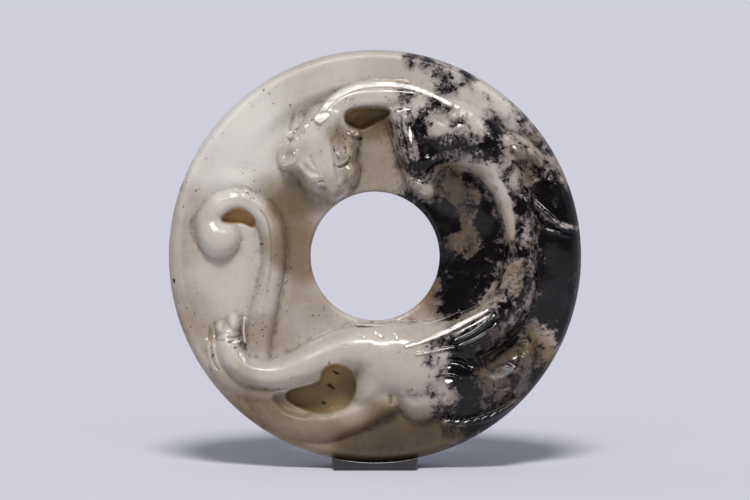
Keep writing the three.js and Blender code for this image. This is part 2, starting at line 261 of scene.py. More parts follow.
def carve_neck_and_shoulder(c):
    """The neck arches over the pit into the shoulder, the near foreleg and its paw by the hole"""
    c.limb([(-6.3, 17.0, 1.8, 3.9), (-5.9, 19.0, 1.8, 4.0), (-4.5, 20.5, 1.75, 3.7),
            (-2.3, 21.35, 1.75, 3.45), (0.4, 21.6, 1.75, 3.4), (3.2, 21.5, 1.75, 3.45),
            (6.0, 21.0, 1.9, 3.55), (8.8, 20.0, 2.2, 3.7), (11.8, 18.4, 2.7, 3.7), (14.6, 16.2, 3.0, 3.8),
            (17.2, 12.4, 2.6, 3.8)],
           roundness=4.0, flank=2.6, fillet=1.0)
    # a polished slope along the neck's outer edge, which leans up to the light all the way
    c.limb([(-7.4, 18.2, 0.5, 4.35, 0.2), (-7.3, 19.0, 0.6, 4.18, 0.25), (-6.5, 20.4, 0.65, 3.75, 0.35),
            (-4.9, 21.8, 0.65, 3.4, 0.4), (-2.6, 22.8, 0.65, 3.2, 0.41), (0, 23.2, 0.65, 3.1, 0.41),
            (2.4, 23.2, 0.65, 3.13, 0.41), (5.2, 22.7, 0.65, 3.35, 0.4), (8.0, 21.6, 0.6, 3.75, 0.37),
            (10.2, 20.5, 0.5, 4.1, 0.36)], roundness=8.0, fillet=0.25)
    shoulder = [(1.0, 20.4), (1.4, 18.2), (2.3, 15.3), (3.3, 12.6), (4.2, 10.3), (4.9, 9.3), (6.1, 8.5),
                (7.4, 8.2), (8.0, 8.9), (7.9, 10.3), (8.8, 11.5), (10.8, 12.15), (12.9, 11.4), (14.9, 9.7),
                (17.0, 7.6), (19.6, 11.0), (18.7, 14.8), (15.9, 18.2), (11.8, 20.4), (7.6, 21.6), (3.4, 21.6)]
    c.plate(shoulder, lambda x, z: 3.7 - 1.3 * smooth_step(13.0, 9.0, z), shoulder=2.4, roundness=2.0)
    # facet down the inner foreleg, with tendons and the paw below it
    c.limb([(4.2, 18.6, 1.2, 4.0), (4.7, 16.0, 1.1, 4.1), (5.2, 13.2, 1.0, 3.7), (5.8, 11.2, 0.9, 3.1)],
           fillet=1.0)
    c.knob(10.2, 16.2, 4.2, 3.2, -25, 4.3, fillet=1.1)
    c.line([(6.9, 13.2), (7.3, 14.8), (7.2, 16.6)], 0.4, -0.28)
    c.line([(2.9, 17.8), (3.6, 14.8), (4.5, 11.8)], 0.2, 0.2)
    c.line([(4.6, 10.9), (5.6, 10.6), (6.6, 10.9), (7.6, 10.7)], 0.2, -0.3)
    c.knob(6.3, 9.4, 2.1, 1.1, -33, 2.9, fillet=0.5, roundness=2.0, base=1.0)
    c.line([(4.9, 9.7), (6.0, 8.75), (7.3, 8.1)], 0.14, 0.2)
    c.line([(11.4, 20.7), (11.1, 19.6), (11.2, 18.4), (11.6, 17.6)], 0.13, 0.16)
    c.line([(12.0, 20.4), (14.0, 19.6), (16.2, 18.3), (18.2, 16.9)], 0.16, -0.25)


def carve_body(c):
    """The body curves down the right side to the loin"""
    c.limb([(12.0, 17.4, 3.4, 3.8), (15.4, 13.8, 3.2, 3.9), (18.2, 9.4, 2.85, 3.7), (19.55, 4.5, 2.5, 3.6),
            (19.8, -0.5, 2.5, 3.6), (18.9, -5.2, 2.8, 3.7), (16.3, -8.9, 3.1, 3.9), (12.0, -11.4, 3.4, 4.0),
            (7.5, -12.6, 3.7, 4.1), (3.0, -13.0, 3.9, 4.1)], roundness=3.0)
    # strands over the loin, and the long facet that runs into the haunch
    for k in range(2):
        c.line([(10.4 + 0.5 * k, -11.7 - 0.7 * k), (12.6 + 0.5 * k, -10.8 - 0.8 * k),
                (14.6 + 0.5 * k, -9.5 - 0.9 * k), (16.4 + 0.4 * k, -7.9 - 1.0 * k)], 0.2, 0.22)
    c.limb([(4.2, -12.2, 0.35, 4.5), (6.7, -11.4, 0.45, 4.45), (8.5, -10.65, 0.55, 4.35),
            (10.2, -9.9, 0.6, 4.25), (11.9, -9.05, 0.6, 4.1), (13.6, -8.2, 0.5, 4.0),
            (15.2, -7.3, 0.35, 3.85)],
           roundness=8.0, fillet=0.3, tilt=0.42)
    c.limb([(5.6, -13.25, 0.2, 4.75), (7.2, -12.95, 0.27, 4.75), (8.8, -12.65, 0.27, 4.6),
            (10.7, -12.3, 0.2, 4.4)], roundness=8.0, fillet=0.25, tilt=0.42)
    # the thin bright edge of the ground below the hole
    c.limb([(-2.4, -9.3, 0.12, 1.3), (1.5, -9.45, 0.14, 1.4), (4.5, -9.35, 0.14, 1.4),
            (8.3, -8.8, 0.14, 1.35), (11.4, -7.6, 0.1, 1.2)], roundness=6.0, fillet=0.3, tilt=0.41, flank=2.0)


def carve_far_foreleg(c):
    """The far foreleg reaches out to the rim, with two toes and a raised line below it"""
    paw = [(17.2, 17.0), (20.4, 16.2), (22.6, 14.2), (24.6, 12.6), (26.1, 11.0), (26.0, 9.7), (25.0, 9.5),
           (24.3, 10.0), (23.5, 9.5), (22.7, 10.2), (21.9, 12.0), (20.9, 12.9), (19.2, 12.8), (17.0, 14.0)]
    c.plate(paw, lambda x, z: 3.2 - 1.2 * smooth_step(18.5, 24, x), shoulder=1.5)
    c.knob(19.0, 14.5, 1.5, 0.9, -30, 4.0, fillet=0.5, roundness=2.0)
    c.knob(23.7, 10.5, 0.65, 1.1, -15, 2.6, roundness=2.0)
    c.knob(25.3, 10.6, 0.6, 1.0, 10, 2.3, roundness=2.0)
    c.line([(18.8, 16.2), (20.2, 15.2), (20.6, 13.6), (20.9, 12.6)], 0.22, -0.5)
    c.line([(21.3, 12.6), (21.7, 11.5), (22.2, 10.4)], 0.28, -0.8)
    c.line([(24.5, 12.2), (24.5, 11.0), (24.5, 9.8)], 0.2, -0.5)
    c.line([(21.6, 10.4), (21.2, 9.2), (20.95, 8.2), (21.7, 7.2), (23.1, 5.9), (24.9, 4.3), (26.2, 3.65),
            (27.7, 3.6)], 0.24, 0.5)
    c.line([(22.5, 3.7), (24.9, 3.0), (26.5, 2.6)], 0.16, 0.15)


def carve_hips(c):
    """Loin, rump and far thigh, which end in lobes along the lower rim"""
    hips = [(-2.8, -12.6), (-2.6, -16.6), (-2.9, -19.2), (-2.2, -20.6), (0.4, -20.9), (2.1, -19.9),
            (3.2, -20.7), (4.4, -22.0), (6.2, -22.5), (7.9, -22.1), (9.0, -22.3), (11.5, -22.9),
            (14.0, -22.7), (16.8, -21.2), (19.2, -19.4), (19.8, -17.6), (18.0, -15.6), (15.4, -14.0),
            (12.6, -11.0), (6.0, -9.6), (1.0, -9.2)]
    c.plate(hips, lambda x, z: 3.9 - 1.5 * smooth_step(-15.0, -21.5, z) - 0.5 * smooth_step(10, 17, x),
            shoulder=3.0, roundness=2.0)
    c.knob(4.2, -14.4, 6.5, 4.8, -10, 4.45, fillet=1.6)
    c.knob(11.6, -16.6, 3.6, 3.9, 0, 3.9, fillet=1.0)
    c.swell(5.6, -20.2, 2.2, 1.4, 0, 0.5)
    c.line([(2.1, -20.2), (2.15, -19.4), (2.0, -18.6)], 0.25, -0.5)
    c.line([(8.3, -21.4), (8.9, -20.1), (9.4, -18.4)], 0.35, -0.35)
    c.line([(9.6, -14.0), (11.6, -14.2), (13.2, -15.2)], 0.3, -0.4)
    c.line([(9.4, -16.2), (10.8, -16.4), (11.8, -17.3)], 0.22, 0.35)
    # a rope-like edge below the far leg: a low ledge with slanting nicks
    edge = [(9.4, -22.5), (12.4, -22.6), (14.9, -22.0), (17.0, -21.1), (19.2, -19.8)]
    c.limb([(x, z, 0.55, 2.1) for x, z in edge], roundness=6.0, fillet=0.3, flank=3.0)
    for x, z in ROPE_NICKS:
        c.line([(x - 0.5, z - 0.36), (x, z), (x + 0.5, z + 0.36)], 0.22, 0.24)


def carve_far_hind_paw(c):
    """The far hind paw, low and broad, behind the thigh"""
    paw = [(14.8, -15.4), (16.6, -13.6), (18.6, -12.2), (20.6, -11.6), (21.8, -12.6), (21.6, -14.6),
           (20.8, -16.8), (19.4, -18.6), (17.4, -19.0), (15.4, -18.3), (14.6, -16.9)]
    c.plate(paw, 2.6, shoulder=2.2)
    c.knob(17.4, -16.6, 2.6, 1.6, 25, 3.1, fillet=0.9, roundness=2.0)
    c.knob(20.2, -13.4, 1.2, 1.1, 50, 2.9, fillet=0.9, roundness=2.0)
    c.line([(14.6, -15.2), (16.2, -14.5), (17.8, -14.3), (19.2, -15.0)], 0.3, -0.35)
    c.line([(19.0, -18.4), (20.2, -16.8), (21.2, -14.6)], 0.22, -0.25)


def carve_near_hind_leg(c):
    """The near hind leg lies out to the left and turns up to its paw; a low fold runs below it"""
    c.limb([(0.0, -12.8, 3.4, 4.1), (-4.0, -12.8, 3.0, 4.0), (-8.0, -14.2, 2.7, 3.9),
            (-11.5, -15.6, 2.3, 3.7), (-14.8, -16.1, 2.1, 3.6), (-17.6, -15.4, 2.1, 3.5),
            (-19.4, -13.5, 1.9, 3.3), (-19.9, -11.6, 1.7, 3.0), (-19.8, -10.6, 1.6, 2.6)], roundness=2.7)
    c.limb([(-9, -17.4, 1.4, 1.8), (-13, -18.2, 1.6, 1.7), (-17.0, -17.8, 1.7, 1.6), (-20.4, -15.6, 1.5, 1.5),
            (-21.9, -12.4, 1.1, 1.4)], roundness=2.0, fillet=1.2, flank=1.6)
    c.line([(-8.0, -16.9), (-11, -17.7), (-14, -18.0), (-17.4, -17.4), (-20.0, -15.9)], 0.22, -0.2)
    c.line([(-22.4, -9.2), (-22.3, -11.2), (-22.1, -13.3), (-21.7, -14.7), (-21.0, -15.6)], 0.2, -0.5)
    # toes
    c.knob(-19.15, -9.2, 1.0, 1.5, 0, 2.9, fillet=0.45, roundness=2.0)
    c.knob(-20.9, -9.9, 0.8, 1.15, 8, 2.5, fillet=0.45, roundness=2.0)
    c.limb([(-17.7, -8.7, 0.25, 1.1), (-17.8, -10.2, 0.3, 1.5), (-17.6, -11.6, 0.3, 2.2)],
           fillet=0.6, flank=2.0)
    c.line([(-20.1, -10.9), (-19.1, -11.05), (-18.0, -10.8)], 0.16, -0.4)
    c.line([(-21.6, -11.3), (-20.9, -11.5), (-20.2, -11.3)], 0.14, -0.3)


def carve_head(c):
    """The head hangs from the neck's end, its chin by the hole and an ear at each side of the crown"""
    skull = [(-7.6, 20.6), (-9.6, 18.8), (-10.9, 16.6), (-12.3, 15.5), (-13.1, 14.0), (-13.3, 12.5),
             (-12.6, 11.6), (-11.2, 11.2), (-10.3, 10.3), (-9.7, 9.4), (-8.5, 8.6), (-7.1, 8.0), (-5.8, 7.4),
             (-4.6, 7.9), (-3.5, 8.8), (-3.0, 10.3), (-2.6, 12.4), (-2.4, 14.4), (-2.0, 15.6), (-2.6, 17.6),
             (-4.2, 20.2)]

    def top(x, z):
        """A flat plane down the middle of the face, with a lower plane on each side of it"""
        low_chin = 1.3 * smooth_step(11.4, 7.6, z)
        low_crown = 0.5 * smooth_step(15.5, 18.5, z)
        on_bridge = smooth_step(9.6, 11.0, z) * smooth_step(18.0, 16.0, z)
        right_plane = 0.6 * on_bridge * smooth_step(-0.25, 0.4, x + 5.85 + 0.13 * (z - 14))
        left_plane = 0.35 * on_bridge * smooth_step(-0.5, 1.6, -8.05 - 0.1 * (z - 14) - x)
        return 4.25 - low_chin - low_crown - right_plane - left_plane - 0.6 * smooth_step(-8.6, -13, x)

    c.plate(skull, top, shoulder=1.5, roundness=2.0, flank=2.4)
    c.limb([(-6.0, 10.4, 1.5, 3.7), (-5.8, 9.2, 1.4, 3.2)], roundness=3.0, fillet=0.7)
    c.swell(-4.9, 15.9, 0.7, 1.9, 0, -0.4)
    # right brow, eye and cheek
    c.knob(-3.8, 13.8, 0.95, 1.0, -10, 4.0, fillet=0.4, roundness=2.0, base=2.6)
    c.knob(-3.5, 11.4, 1.0, 1.4, 6, 3.9, fillet=0.4, roundness=2.0, base=2.4)
    c.line([(-5.3, 12.1), (-4.7, 12.05), (-4.1, 12.35), (-3.6, 12.8), (-3.4, 13.4)], 0.15, -0.38)
    c.limb([(-5.2, 12.4, 0.12, 3.75), (-4.5, 12.5, 0.2, 3.95), (-3.9, 12.95, 0.2, 4.05),
            (-3.5, 13.6, 0.12, 4.0)], roundness=8.0, fillet=0.15, tilt=0.4)
    c.line([(-4.15, 14.8), (-4.0, 14.2), (-4.15, 13.7)], 0.16, -0.5)
    c.swell(-4.95, 13.1, 0.2, 0.35, 0, -0.5)
    c.swell(-5.1, 14.2, 0.5, 0.7, 0, -0.3)
    # nostrils
    c.swell(-4.1, 9.8, 0.4, 0.5, 10, -0.55)
    c.swell(-6.9, 9.0, 0.5, 0.32, -30, -0.4)
    # folds of the left cheek
    c.line([(-10.2, 12.4), (-9.6, 11.3), (-8.6, 10.65), (-7.3, 10.6)], 0.28, 0.18)
    c.line([(-11.3, 12.0), (-10.5, 10.7), (-9.5, 9.5), (-8.3, 8.95), (-7.2, 9.3)], 0.3, 0.22)
    c.line([(-10.7, 11.5), (-9.9, 10.4), (-8.9, 9.85), (-7.6, 9.8)], 0.24, -0.26)
    c.line([(-9.6, 12.6), (-9.1, 11.9), (-8.3, 11.3), (-7.4, 11.2)], 0.24, -0.16)
    c.line([(-8.8, 13.8), (-8.5, 12.8), (-7.9, 11.7)], 0.22, -0.24)
    c.swell(-9.6, 14.2, 1.2, 1.0, 0, -0.2)
    c.line([(-7.7, 9.9), (-7.2, 10.15), (-6.9, 9.9)], 0.13, -0.4)
    c.line([(-7.6, 9.0), (-7.1, 9.25), (-6.6, 9.0)], 0.16, -0.45)
    # left ear: a scoop with a raised rim
    c.swell(-11.8, 13.7, 0.85, 0.75, 25, -0.9)
    c.swell(-12.2, 13.0, 0.3, 0.5, 0, -0.3)
    c.line([(-13.0, 12.2), (-11.9, 12.2), (-11.0, 12.8), (-10.6, 13.7), (-10.8, 14.5)], 0.28, 0.5)
    c.line([(-12.2, 15.3), (-12.9, 14.3), (-13.1, 13.0)], 0.24, 0.24)
    c.knob(-11.4, 16.2, 0.45, 0.4, 0, 3.5, fillet=0.4)
    # right ear
    c.knob(-3.1, 16.75, 1.4, 0.8, -14, 4.3, fillet=0.4, roundness=2.0)
    c.swell(-2.15, 15.95, 0.28, 0.26, 0, -1.1)
    # curls of hair by the left ear, and the cleft between the neck's end and the ground
    c.line([(-11.0, 17.0), (-10.4, 17.15), (-10.1, 16.7), (-10.5, 16.35), (-10.1, 16.05)], 0.13, -0.36)
    c.line([(-10.9, 19.4), (-11.2, 18.1), (-11.6, 16.8)], 0.24, -0.45)


# Outlines of the drilled hollows
PIT_BESIDE_HIND_LEG = [
    (-5.0, -14.8), (-3.6, -15.4), (-2.75, -17.0), (-2.9, -18.9), (-3.8, -20.3), (-5.4, -20.8), (-8.0, -21.1),
    (-10.6, -20.3), (-12.0, -19.1), (-11.4, -18.2), (-8.6, -17.5), (-7.4, -16.9), (-7.1, -15.7),
    (-6.3, -15.0),
]
PIT_UNDER_NECK = [
    (-3.9, 18.8), (-3.4, 19.6), (-1.8, 20.0), (0.4, 20.0), (1.8, 19.6), (1.5, 18.9), (0.4, 18.5),
    (-0.6, 17.9), (-1.6, 17.4), (-2.9, 17.5), (-3.7, 18.0),
]
PIT_IN_TAIL_CURL = [
    (-20.6, 4.8), (-20.3, 5.5), (-19.0, 6.3), (-17.6, 6.1), (-16.4, 4.9), (-16.6, 4.0), (-18.0, 4.5),
    (-19.6, 4.5),
]


def carve_hollows(c):
    """The three drilled hollows, and a shallow one at the root of the tail"""
    c.basin([(-13.6, -19.0), (-11.5, -18.6), (-9.0, -18.8), (-8.5, -20.5), (-9.2, -21.6), (-11.6, -21.2),
             (-13.2, -20.2)], 0.2, lip=1.0)
    c.basin(PIT_BESIDE_HIND_LEG, -1.9, lip=0.6)
    c.basin(PIT_UNDER_NECK, -1.9, lip=0.8)
    c.basin(PIT_IN_TAIL_CURL, -0.9, lip=0.7)


# Small polished facets that slope to the light: x, z, half sizes across and along, turn, way they face
FACETS = [
    (-7.2, 18.8, 1.1, 0.65, 25, 8), (-9.2, 17.55, 0.5, 0.28, 25, 0),
    (-10.5, 15.8, 0.4, 0.17, -25, 0), (-10.85, 13.95, 0.2, 0.3, -20, 0), (-3.6, 16.6, 0.4, 0.2, -35, 0),
    (-2.55, 16.5, 0.38, 0.26, 15, 0), (-7.25, 10.75, 0.3, 0.15, 0, 0), (-3.5, 13.1, 0.13, 0.4, -15, 0),
    (-4.35, 12.3, 0.45, 0.13, 25, 0), (4.75, 16.4, 0.28, 1.4, 8, 10), (12.9, 19.2, 0.5, 0.35, -20, 0),
    (11.1, 20.2, 0.5, 0.22, -25, 0), (16.9, 16.3, 0.4, 0.25, -20, 0), (11.5, 17.6, 0.5, 0.3, -15, 0),
    (18.9, 14.75, 0.45, 0.25, -20, 0), (23.7, 10.4, 0.35, 0.3, 0, 0), (-19.0, -11.6, 0.85, 0.24, 5, 0),
    (-17.95, -13.7, 0.35, 0.8, 35, 12), (-1.8, -10.8, 0.65, 0.22, -30, 0), (0.5, -10.6, 0.85, 0.25, -38, 0),
    (2.85, -10.8, 0.2, 0.6, 20, 0), (-4.3, -12.3, 0.7, 0.2, 15, 0), (9.98, -16.85, 0.6, 0.45, 20, 0),
    (11.5, -16.5, 0.3, 0.25, 0, 0), (9.98, -15.0, 0.3, 0.25, 30, 0), (17.8, -17.95, 0.55, 0.28, 15, 0),
    (20.65, -12.9, 0.35, 0.22, -20, 0), (20.0, -13.6, 0.25, 0.2, 0, 0),
]
# Slanting nicks in the rope-like edge below the far leg: x, z
ROPE_NICKS = [
    (9.8, -22.3), (11.1, -22.4), (12.4, -22.4), (13.6, -22.2), (14.7, -21.95), (15.9, -21.5), (17.0, -21.0),
    (18.0, -20.5), (18.9, -20.0),
]


def carve_facets(c):
    """The small facets, and one in each nick of the rope-like edge"""
    for x, z, across, along, turn, towards in FACETS:
        c.facet(x, z, across, along, turn, towards)
    for x, z in ROPE_NICKS:
        c.facet(x, z, 0.5, 0.17, 40)


def hand_waves(c):
    """Faint unevenness left by carving and polishing by hand"""
    waves = np.zeros_like(c.x)
    for number, length in enumerate((5.3, 4.1, 3.3, 2.7, 2.1, 1.7)):
        for turn in (0.4, 1.5, 2.6):
            angle = turn + 0.7 * number
            bend = 0.6 * np.sin((c.x * np.sin(angle) - c.z * np.cos(angle)) / length + number)
            along = (c.x * np.cos(angle) + c.z * np.sin(angle)) * 2.1 / length
            waves += 0.012 * length * np.sin(along + bend + turn)
    c.height += 0.55 * waves


# The order in which the forms are carved: hollows and facets come after all that they cut
CARVING_ORDER = (
    carve_ground, carve_tail, carve_neck_and_shoulder, carve_body, carve_far_foreleg, carve_hips,
    carve_far_hind_paw, carve_near_hind_leg, carve_head, carve_hollows, carve_facets, hand_waves,
)


def carved_height(x, z):
    """Height of the finished carving over the disc's ground, at places x, z"""
    c = Carving(x, z)
    for carve in CARVING_ORDER:
        carve(c)
    return c.height


# The disc's own mesh

def quarter_turn(start, end, bulge_out, steps):
    """Places between start and end on a quarter of an ellipse. One that bulges out leaves start along the
    radius, and any other leaves it along the axis."""
    points = []
    for i in range(1, steps):
        turn = i / steps * math.pi / 2
        s, c = (math.sin(turn), 1 - math.cos(turn)) if bulge_out else (1 - math.cos(turn), math.sin(turn))
        points.append((start[0] + s * (end[0] - start[0]), start[1] + c * (end[1] - start[1])))
    return points


# How finely the section is divided, and how many triangles the carved disc keeps
BACK_ROWS = 60
BORE_ROWS = 12
BORE_ROUND_STEPS = 5
RIM_ROUND_STEPS = 10
DISC_TRIANGLES = 190000


def disc_section(face_rows):
    """Radius and depth of the disc's section, walked round from the hole's front edge"""
    face_inner = (HOLE_RADIUS + BORE_ROUND, -GROUND_FRONT)
    face_outer = (DISC_RADIUS - RIM_ROUND, -GROUND_FRONT)
    rim_front, rim_back = (DISC_RADIUS, -RIM_FLAT), (DISC_RADIUS, RIM_FLAT)
    back_outer = (DISC_RADIUS - RIM_ROUND, BACK_FACE)
    back_inner = (HOLE_RADIUS + BORE_ROUND, BACK_FACE)
    bore_back = (HOLE_RADIUS, BACK_FACE - BORE_ROUND)
    bore_front = (HOLE_RADIUS, -GROUND_FRONT + BORE_ROUND)
    section = [(r, -GROUND_FRONT) for r in np.linspace(face_inner[0], face_outer[0], face_rows)]
    section += quarter_turn(face_outer, rim_front, True, RIM_ROUND_STEPS) + [rim_front]
    section += [(DISC_RADIUS, y) for y in (-RIM_FLAT / 3, RIM_FLAT / 3)]
    section += [rim_back] + quarter_turn(rim_back, back_outer, False, RIM_ROUND_STEPS)
    section += [(r, BACK_FACE) for r in np.linspace(back_outer[0], back_inner[0], BACK_ROWS)]
    section += quarter_turn(back_inner, bore_back, True, BORE_ROUND_STEPS) + [bore_back]
    section += [(HOLE_RADIUS, y) for y in np.linspace(bore_back[1], bore_front[1], BORE_ROWS)[1:]]
    section += quarter_turn(bore_front, face_inner, False, BORE_ROUND_STEPS)
    return section


def ring_mesh(steps, face_rows):
    """A grid wrapped once round the disc's axis and once round its section"""
    section = np.array(disc_section(face_rows))
    rows = len(section)
    bm = bmesh.new()
    bmesh.ops.create_grid(bm, x_segments=steps, y_segments=rows, size=1)
    mesh = bpy.data.meshes.new("jade_disc_carved")
    bm.to_mesh(mesh)
    flat = vertex_places(mesh)
    turn = (flat[:, 0] + 1) * math.pi
    radius, depth = section[np.rint((flat[:, 1] + 1) / 2 * rows).astype(int) % rows].T
    set_vertex_places(mesh, np.column_stack([radius * np.cos(turn), depth, radius * np.sin(turn)]))
    bm.clear()
    bm.from_mesh(mesh)
    seam = [vert for vert in bm.verts if vert.is_boundary]
    bmesh.ops.remove_doubles(bm, verts=seam, dist=1e-4)
    bmesh.ops.recalc_face_normals(bm, faces=bm.faces)
    bm.to_mesh(mesh)
    bm.free()
    return mesh


def vertex_places(mesh):
    """The mesh's places as rows of x, y, z"""
    flat = np.zeros(len(mesh.vertices) * 3, np.float32)
    mesh.vertices.foreach_get("co", flat)
    return flat.reshape(-1, 3).astype(float)


def set_vertex_places(mesh, places):
    """Moves the mesh's vertices to new places"""
    mesh.vertices.foreach_set("co", places.astype(np.float32).ravel())
    mesh.update()


def back_rings(radius):
    """Two shallow turned lines on the plain back, one near each edge"""
    rings = np.zeros_like(radius)
    for line in (HOLE_RADIUS + 2.2, DISC_RADIUS - 3.4):
        rings -= 0.12 * np.exp(-((radius - line) / 0.3) ** 2)
    return rings


def carve_disc(mesh):
    """Raises the front by the carving, less and less round the rim's edge, and turns lines into the back"""
    x, y, z = vertex_places(mesh).T
    share = smooth_step(RIM_FLAT, GROUND_FRONT, -y)
    front = share > 0
    y[front] -= share[front] * carved_height(x[front], z[front])
    behind = y > BACK_FACE - 0.01
    y[behind] += back_rings(np.hypot(x[behind], z[behind]))
    set_vertex_places(mesh, np.column_stack([x, y, z]))


def thin_mesh(mesh, triangles):
    """Collapses the mesh to about this many triangles, keeping them where the form turns"""
    worker = bpy.data.objects.new("thinning", mesh)
    bpy.context.scene.collection.objects.link(worker)
    decimate = worker.modifiers.new("thin", "DECIMATE")
    decimate.ratio = triangles / (2 * len(mesh.polygons))
    decimate.use_collapse_triangulate = True
    depsgraph = bpy.context.evaluated_depsgraph_get()
    thinned = bpy.data.meshes.new_from_object(worker.evaluated_get(depsgraph))
    bpy.data.objects.remove(worker)
    return thinned


# Colours of the stone, as soft areas on the disc

# Outlines of the dark stone
BLACK_AREAS = {
    "shoulder": [(3.2, 19.2), (5.2, 18.6), (6.6, 17.2), (8.2, 15.9), (10.5, 16.1), (12.2, 16.4), (13.6, 15.8),
                 (15.0, 16.8), (14.4, 18.4), (16.6, 18.7), (18.2, 17.0), (17.4, 15.2), (17.2, 13.0),
                 (15.6, 12.8), (13.8, 13.3), (11.8, 13.6), (9.8, 12.7), (8.2, 11.8), (7.6, 10.7), (5.6, 10.7),
                 (4.4, 11.0), (3.6, 13.0), (3.2, 16.0)],
    "inner_recess": [(2.9, 8.0), (3.5, 9.6), (5.0, 8.9), (6.4, 8.1), (8.1, 8.2), (8.2, 10.3), (9.2, 11.7),
                     (11.0, 12.2), (13.0, 11.3), (15.0, 9.7), (16.7, 7.0), (17.7, 4.0), (17.9, 1.0),
                     (17.7, -2.0), (17.0, -4.2), (15.9, -5.8), (13.6, -7.2), (11.0, -8.6), (8.9, -9.0),
                     (8.4, -6.6), (8.4, -3.4), (7.0, -3.0), (7.0, 3.0), (5.0, 6.0)],
    "outer_band": [(22.0, 12.6), (23.2, 11.6), (24.6, 12.4), (26.2, 10.2), (30.0, 9.8), (31.0, 0.0),
                   (30.0, -9.0), (25.6, -13.5), (23.8, -11.4), (21.8, -9.9), (19.6, -10.6), (17.6, -12.4),
                   (15.6, -13.8), (14.4, -13.2), (15.9, -11.6), (18.2, -9.6), (20.2, -6.8), (21.0, -3.6),
                   (21.2, 0.0), (21.0, 4.0), (20.9, 7.4), (21.4, 9.8)],
    "far_thigh": [(7.4, -11.9), (9.2, -11.2), (11.4, -10.0), (13.6, -8.8), (16.4, -6.2), (18.8, -7.2),
                  (16.8, -10.2), (14.8, -12.6), (15.2, -14.6), (14.2, -16.2), (14.8, -17.6), (16.4, -18.6),
                  (18.0, -19.6), (20.8, -19.6), (18.4, -23.0), (14.0, -25.8), (11.2, -27.0), (10.2, -25.4),
                  (11.8, -23.8), (9.0, -22.4), (7.8, -21.4), (8.8, -20.4), (10.8, -19.4), (9.6, -18.0),
                  (8.8, -16.6), (9.2, -14.8), (9.4, -13.2)],
    "neck_streak": [(3.6, 22.6), (4.4, 22.6), (4.7, 20.6), (4.6, 18.8), (3.4, 18.8), (3.7, 20.6)],
    "far_rim": [(20.6, -15.4), (22.6, -14.8), (24.4, -15.4), (22.6, -18.2), (20.8, -19.8), (20.2, -18.0)],
}
# Pale stone in or beside the dark stone, and paler stone painted under one highlight: how dark it stays, in
# millimetres of signed depth, and its outline
PALE_AREAS = {
    "inner_strip": (-1.4, [(10.4, 12.3), (12.4, 12.6), (14.4, 12.2), (16.0, 11.4), (17.1, 9.8), (18.0, 8.0),
                           (18.4, 6.0), (18.6, 4.0), (18.5, 2.4), (17.8, 2.2), (17.7, 4.2), (17.1, 6.3),
                           (16.2, 8.1), (15.1, 9.8), (13.4, 11.2), (11.0, 12.0)]),
    "lower_strip": (0.1, [(18.2, -0.6), (19.9, -1.0), (20.1, -3.4), (19.2, -5.4), (18.0, -4.0),
                          (18.0, -2.2)]),
    "loin_flash": (-0.6, [(14.8, -6.2), (16.6, -3.6), (17.2, -3.8), (17.5, -5.0), (16.3, -6.6),
                          (15.2, -7.0)]),
    "recess_cloud": (-0.2, [(9.2, 10.2), (11.6, 10.6), (14.2, 8.8), (13.8, 6.2), (13.2, 4.8), (11.8, 4.6),
                            (11.0, 6.8), (9.0, 8.4)]),
    "recess_islands": (-0.4, [(11.9, 4.2), (13.4, 3.6), (14.2, 1.6), (13.6, 0.2), (12.0, 0.0), (9.6, 1.4),
                              (9.8, 2.6), (11.4, 2.8)]),
    "far_paw": (0.5, [(14.9, -16.4), (15.6, -14.8), (18.0, -13.2), (20.4, -11.9), (21.8, -13.2),
                      (20.6, -15.4), (20.4, -17.4), (18.4, -19.6), (15.8, -21.2), (14.6, -20.4),
                      (17.4, -19.4), (15.8, -18.0)]),
    "thigh_flash": (-0.8, [(9.2, -18.2), (10.4, -18.4), (11.0, -19.4), (10.2, -20.2), (9.3, -19.6)]),
    "near_forepaw": (-1.0, [(4.4, 10.6), (6.2, 10.3), (7.6, 10.0), (8.0, 8.6), (7.0, 7.9), (5.8, 8.4),
                            (4.8, 9.4)]),
    "far_foreleg": (-0.8, [(19.6, 16.2), (21.8, 14.6), (23.0, 13.0), (22.2, 12.2), (21.0, 13.0),
                           (19.0, 13.6)]),
    "wisp": (0.0, [(20.8, 11.4), (21.2, 11.4), (21.25, 8.5), (22.6, 6.5), (24.9, 4.65), (27.9, 3.8),
                   (27.9, 3.5), (24.8, 4.25), (22.35, 6.1), (20.95, 8.3)]),
    # paler stone painted along the foreleg's highlight streak
    "foreleg_painted_highlight": (0.3, [(3.6, 18.0), (4.6, 17.6), (5.4, 15.6), (5.8, 13.2), (5.0, 13.0), (4.4, 15.4)]),
}
# Stone of mixed light and dark grains: how dark it is, in millimetres of signed depth, and its outline
MOTTLED_AREAS = {
    "outside_of_the_back": (1.0, [(22.4, 8.0), (22.6, 4.0), (22.6, -1.0), (21.4, -5.6), (18.0, -7.6),
                                  (17.2, -5.0), (18.1, -2.6), (18.5, 1.0), (18.4, 5.0), (18.3, 8.0)]),
    "behind_the_shoulder": (-0.3, [(17.2, 15.0), (20.8, 14.6), (21.4, 9.6), (21.2, 8.0), (18.3, 8.0),
                                   (17.4, 10.0)]),
    "far_hind_paw": (-0.1, [(14.6, -15.6), (16.6, -13.4), (20.6, -11.4), (22.6, -12.6), (22.2, -16.4),
                            (19.4, -19.6), (16.0, -18.6)]),
    "above_the_shoulder": (-1.5, [(4.4, 19.6), (4.6, 23.0), (9.0, 22.6), (13.6, 20.6), (17.6, 17.6),
                                  (14.4, 17.6), (10.0, 18.8)]),
    "right_rim": (-0.8, [(19.2, 19.4), (22.2, 17.2), (25.2, 13.2), (22.4, 12.6), (20.6, 15.6), (18.8, 17.4)]),
    "far_forepaw": (0.3, [(21.6, 13.4), (25.6, 11.6), (26.0, 9.6), (23.6, 9.2), (21.6, 11.0)]),
}
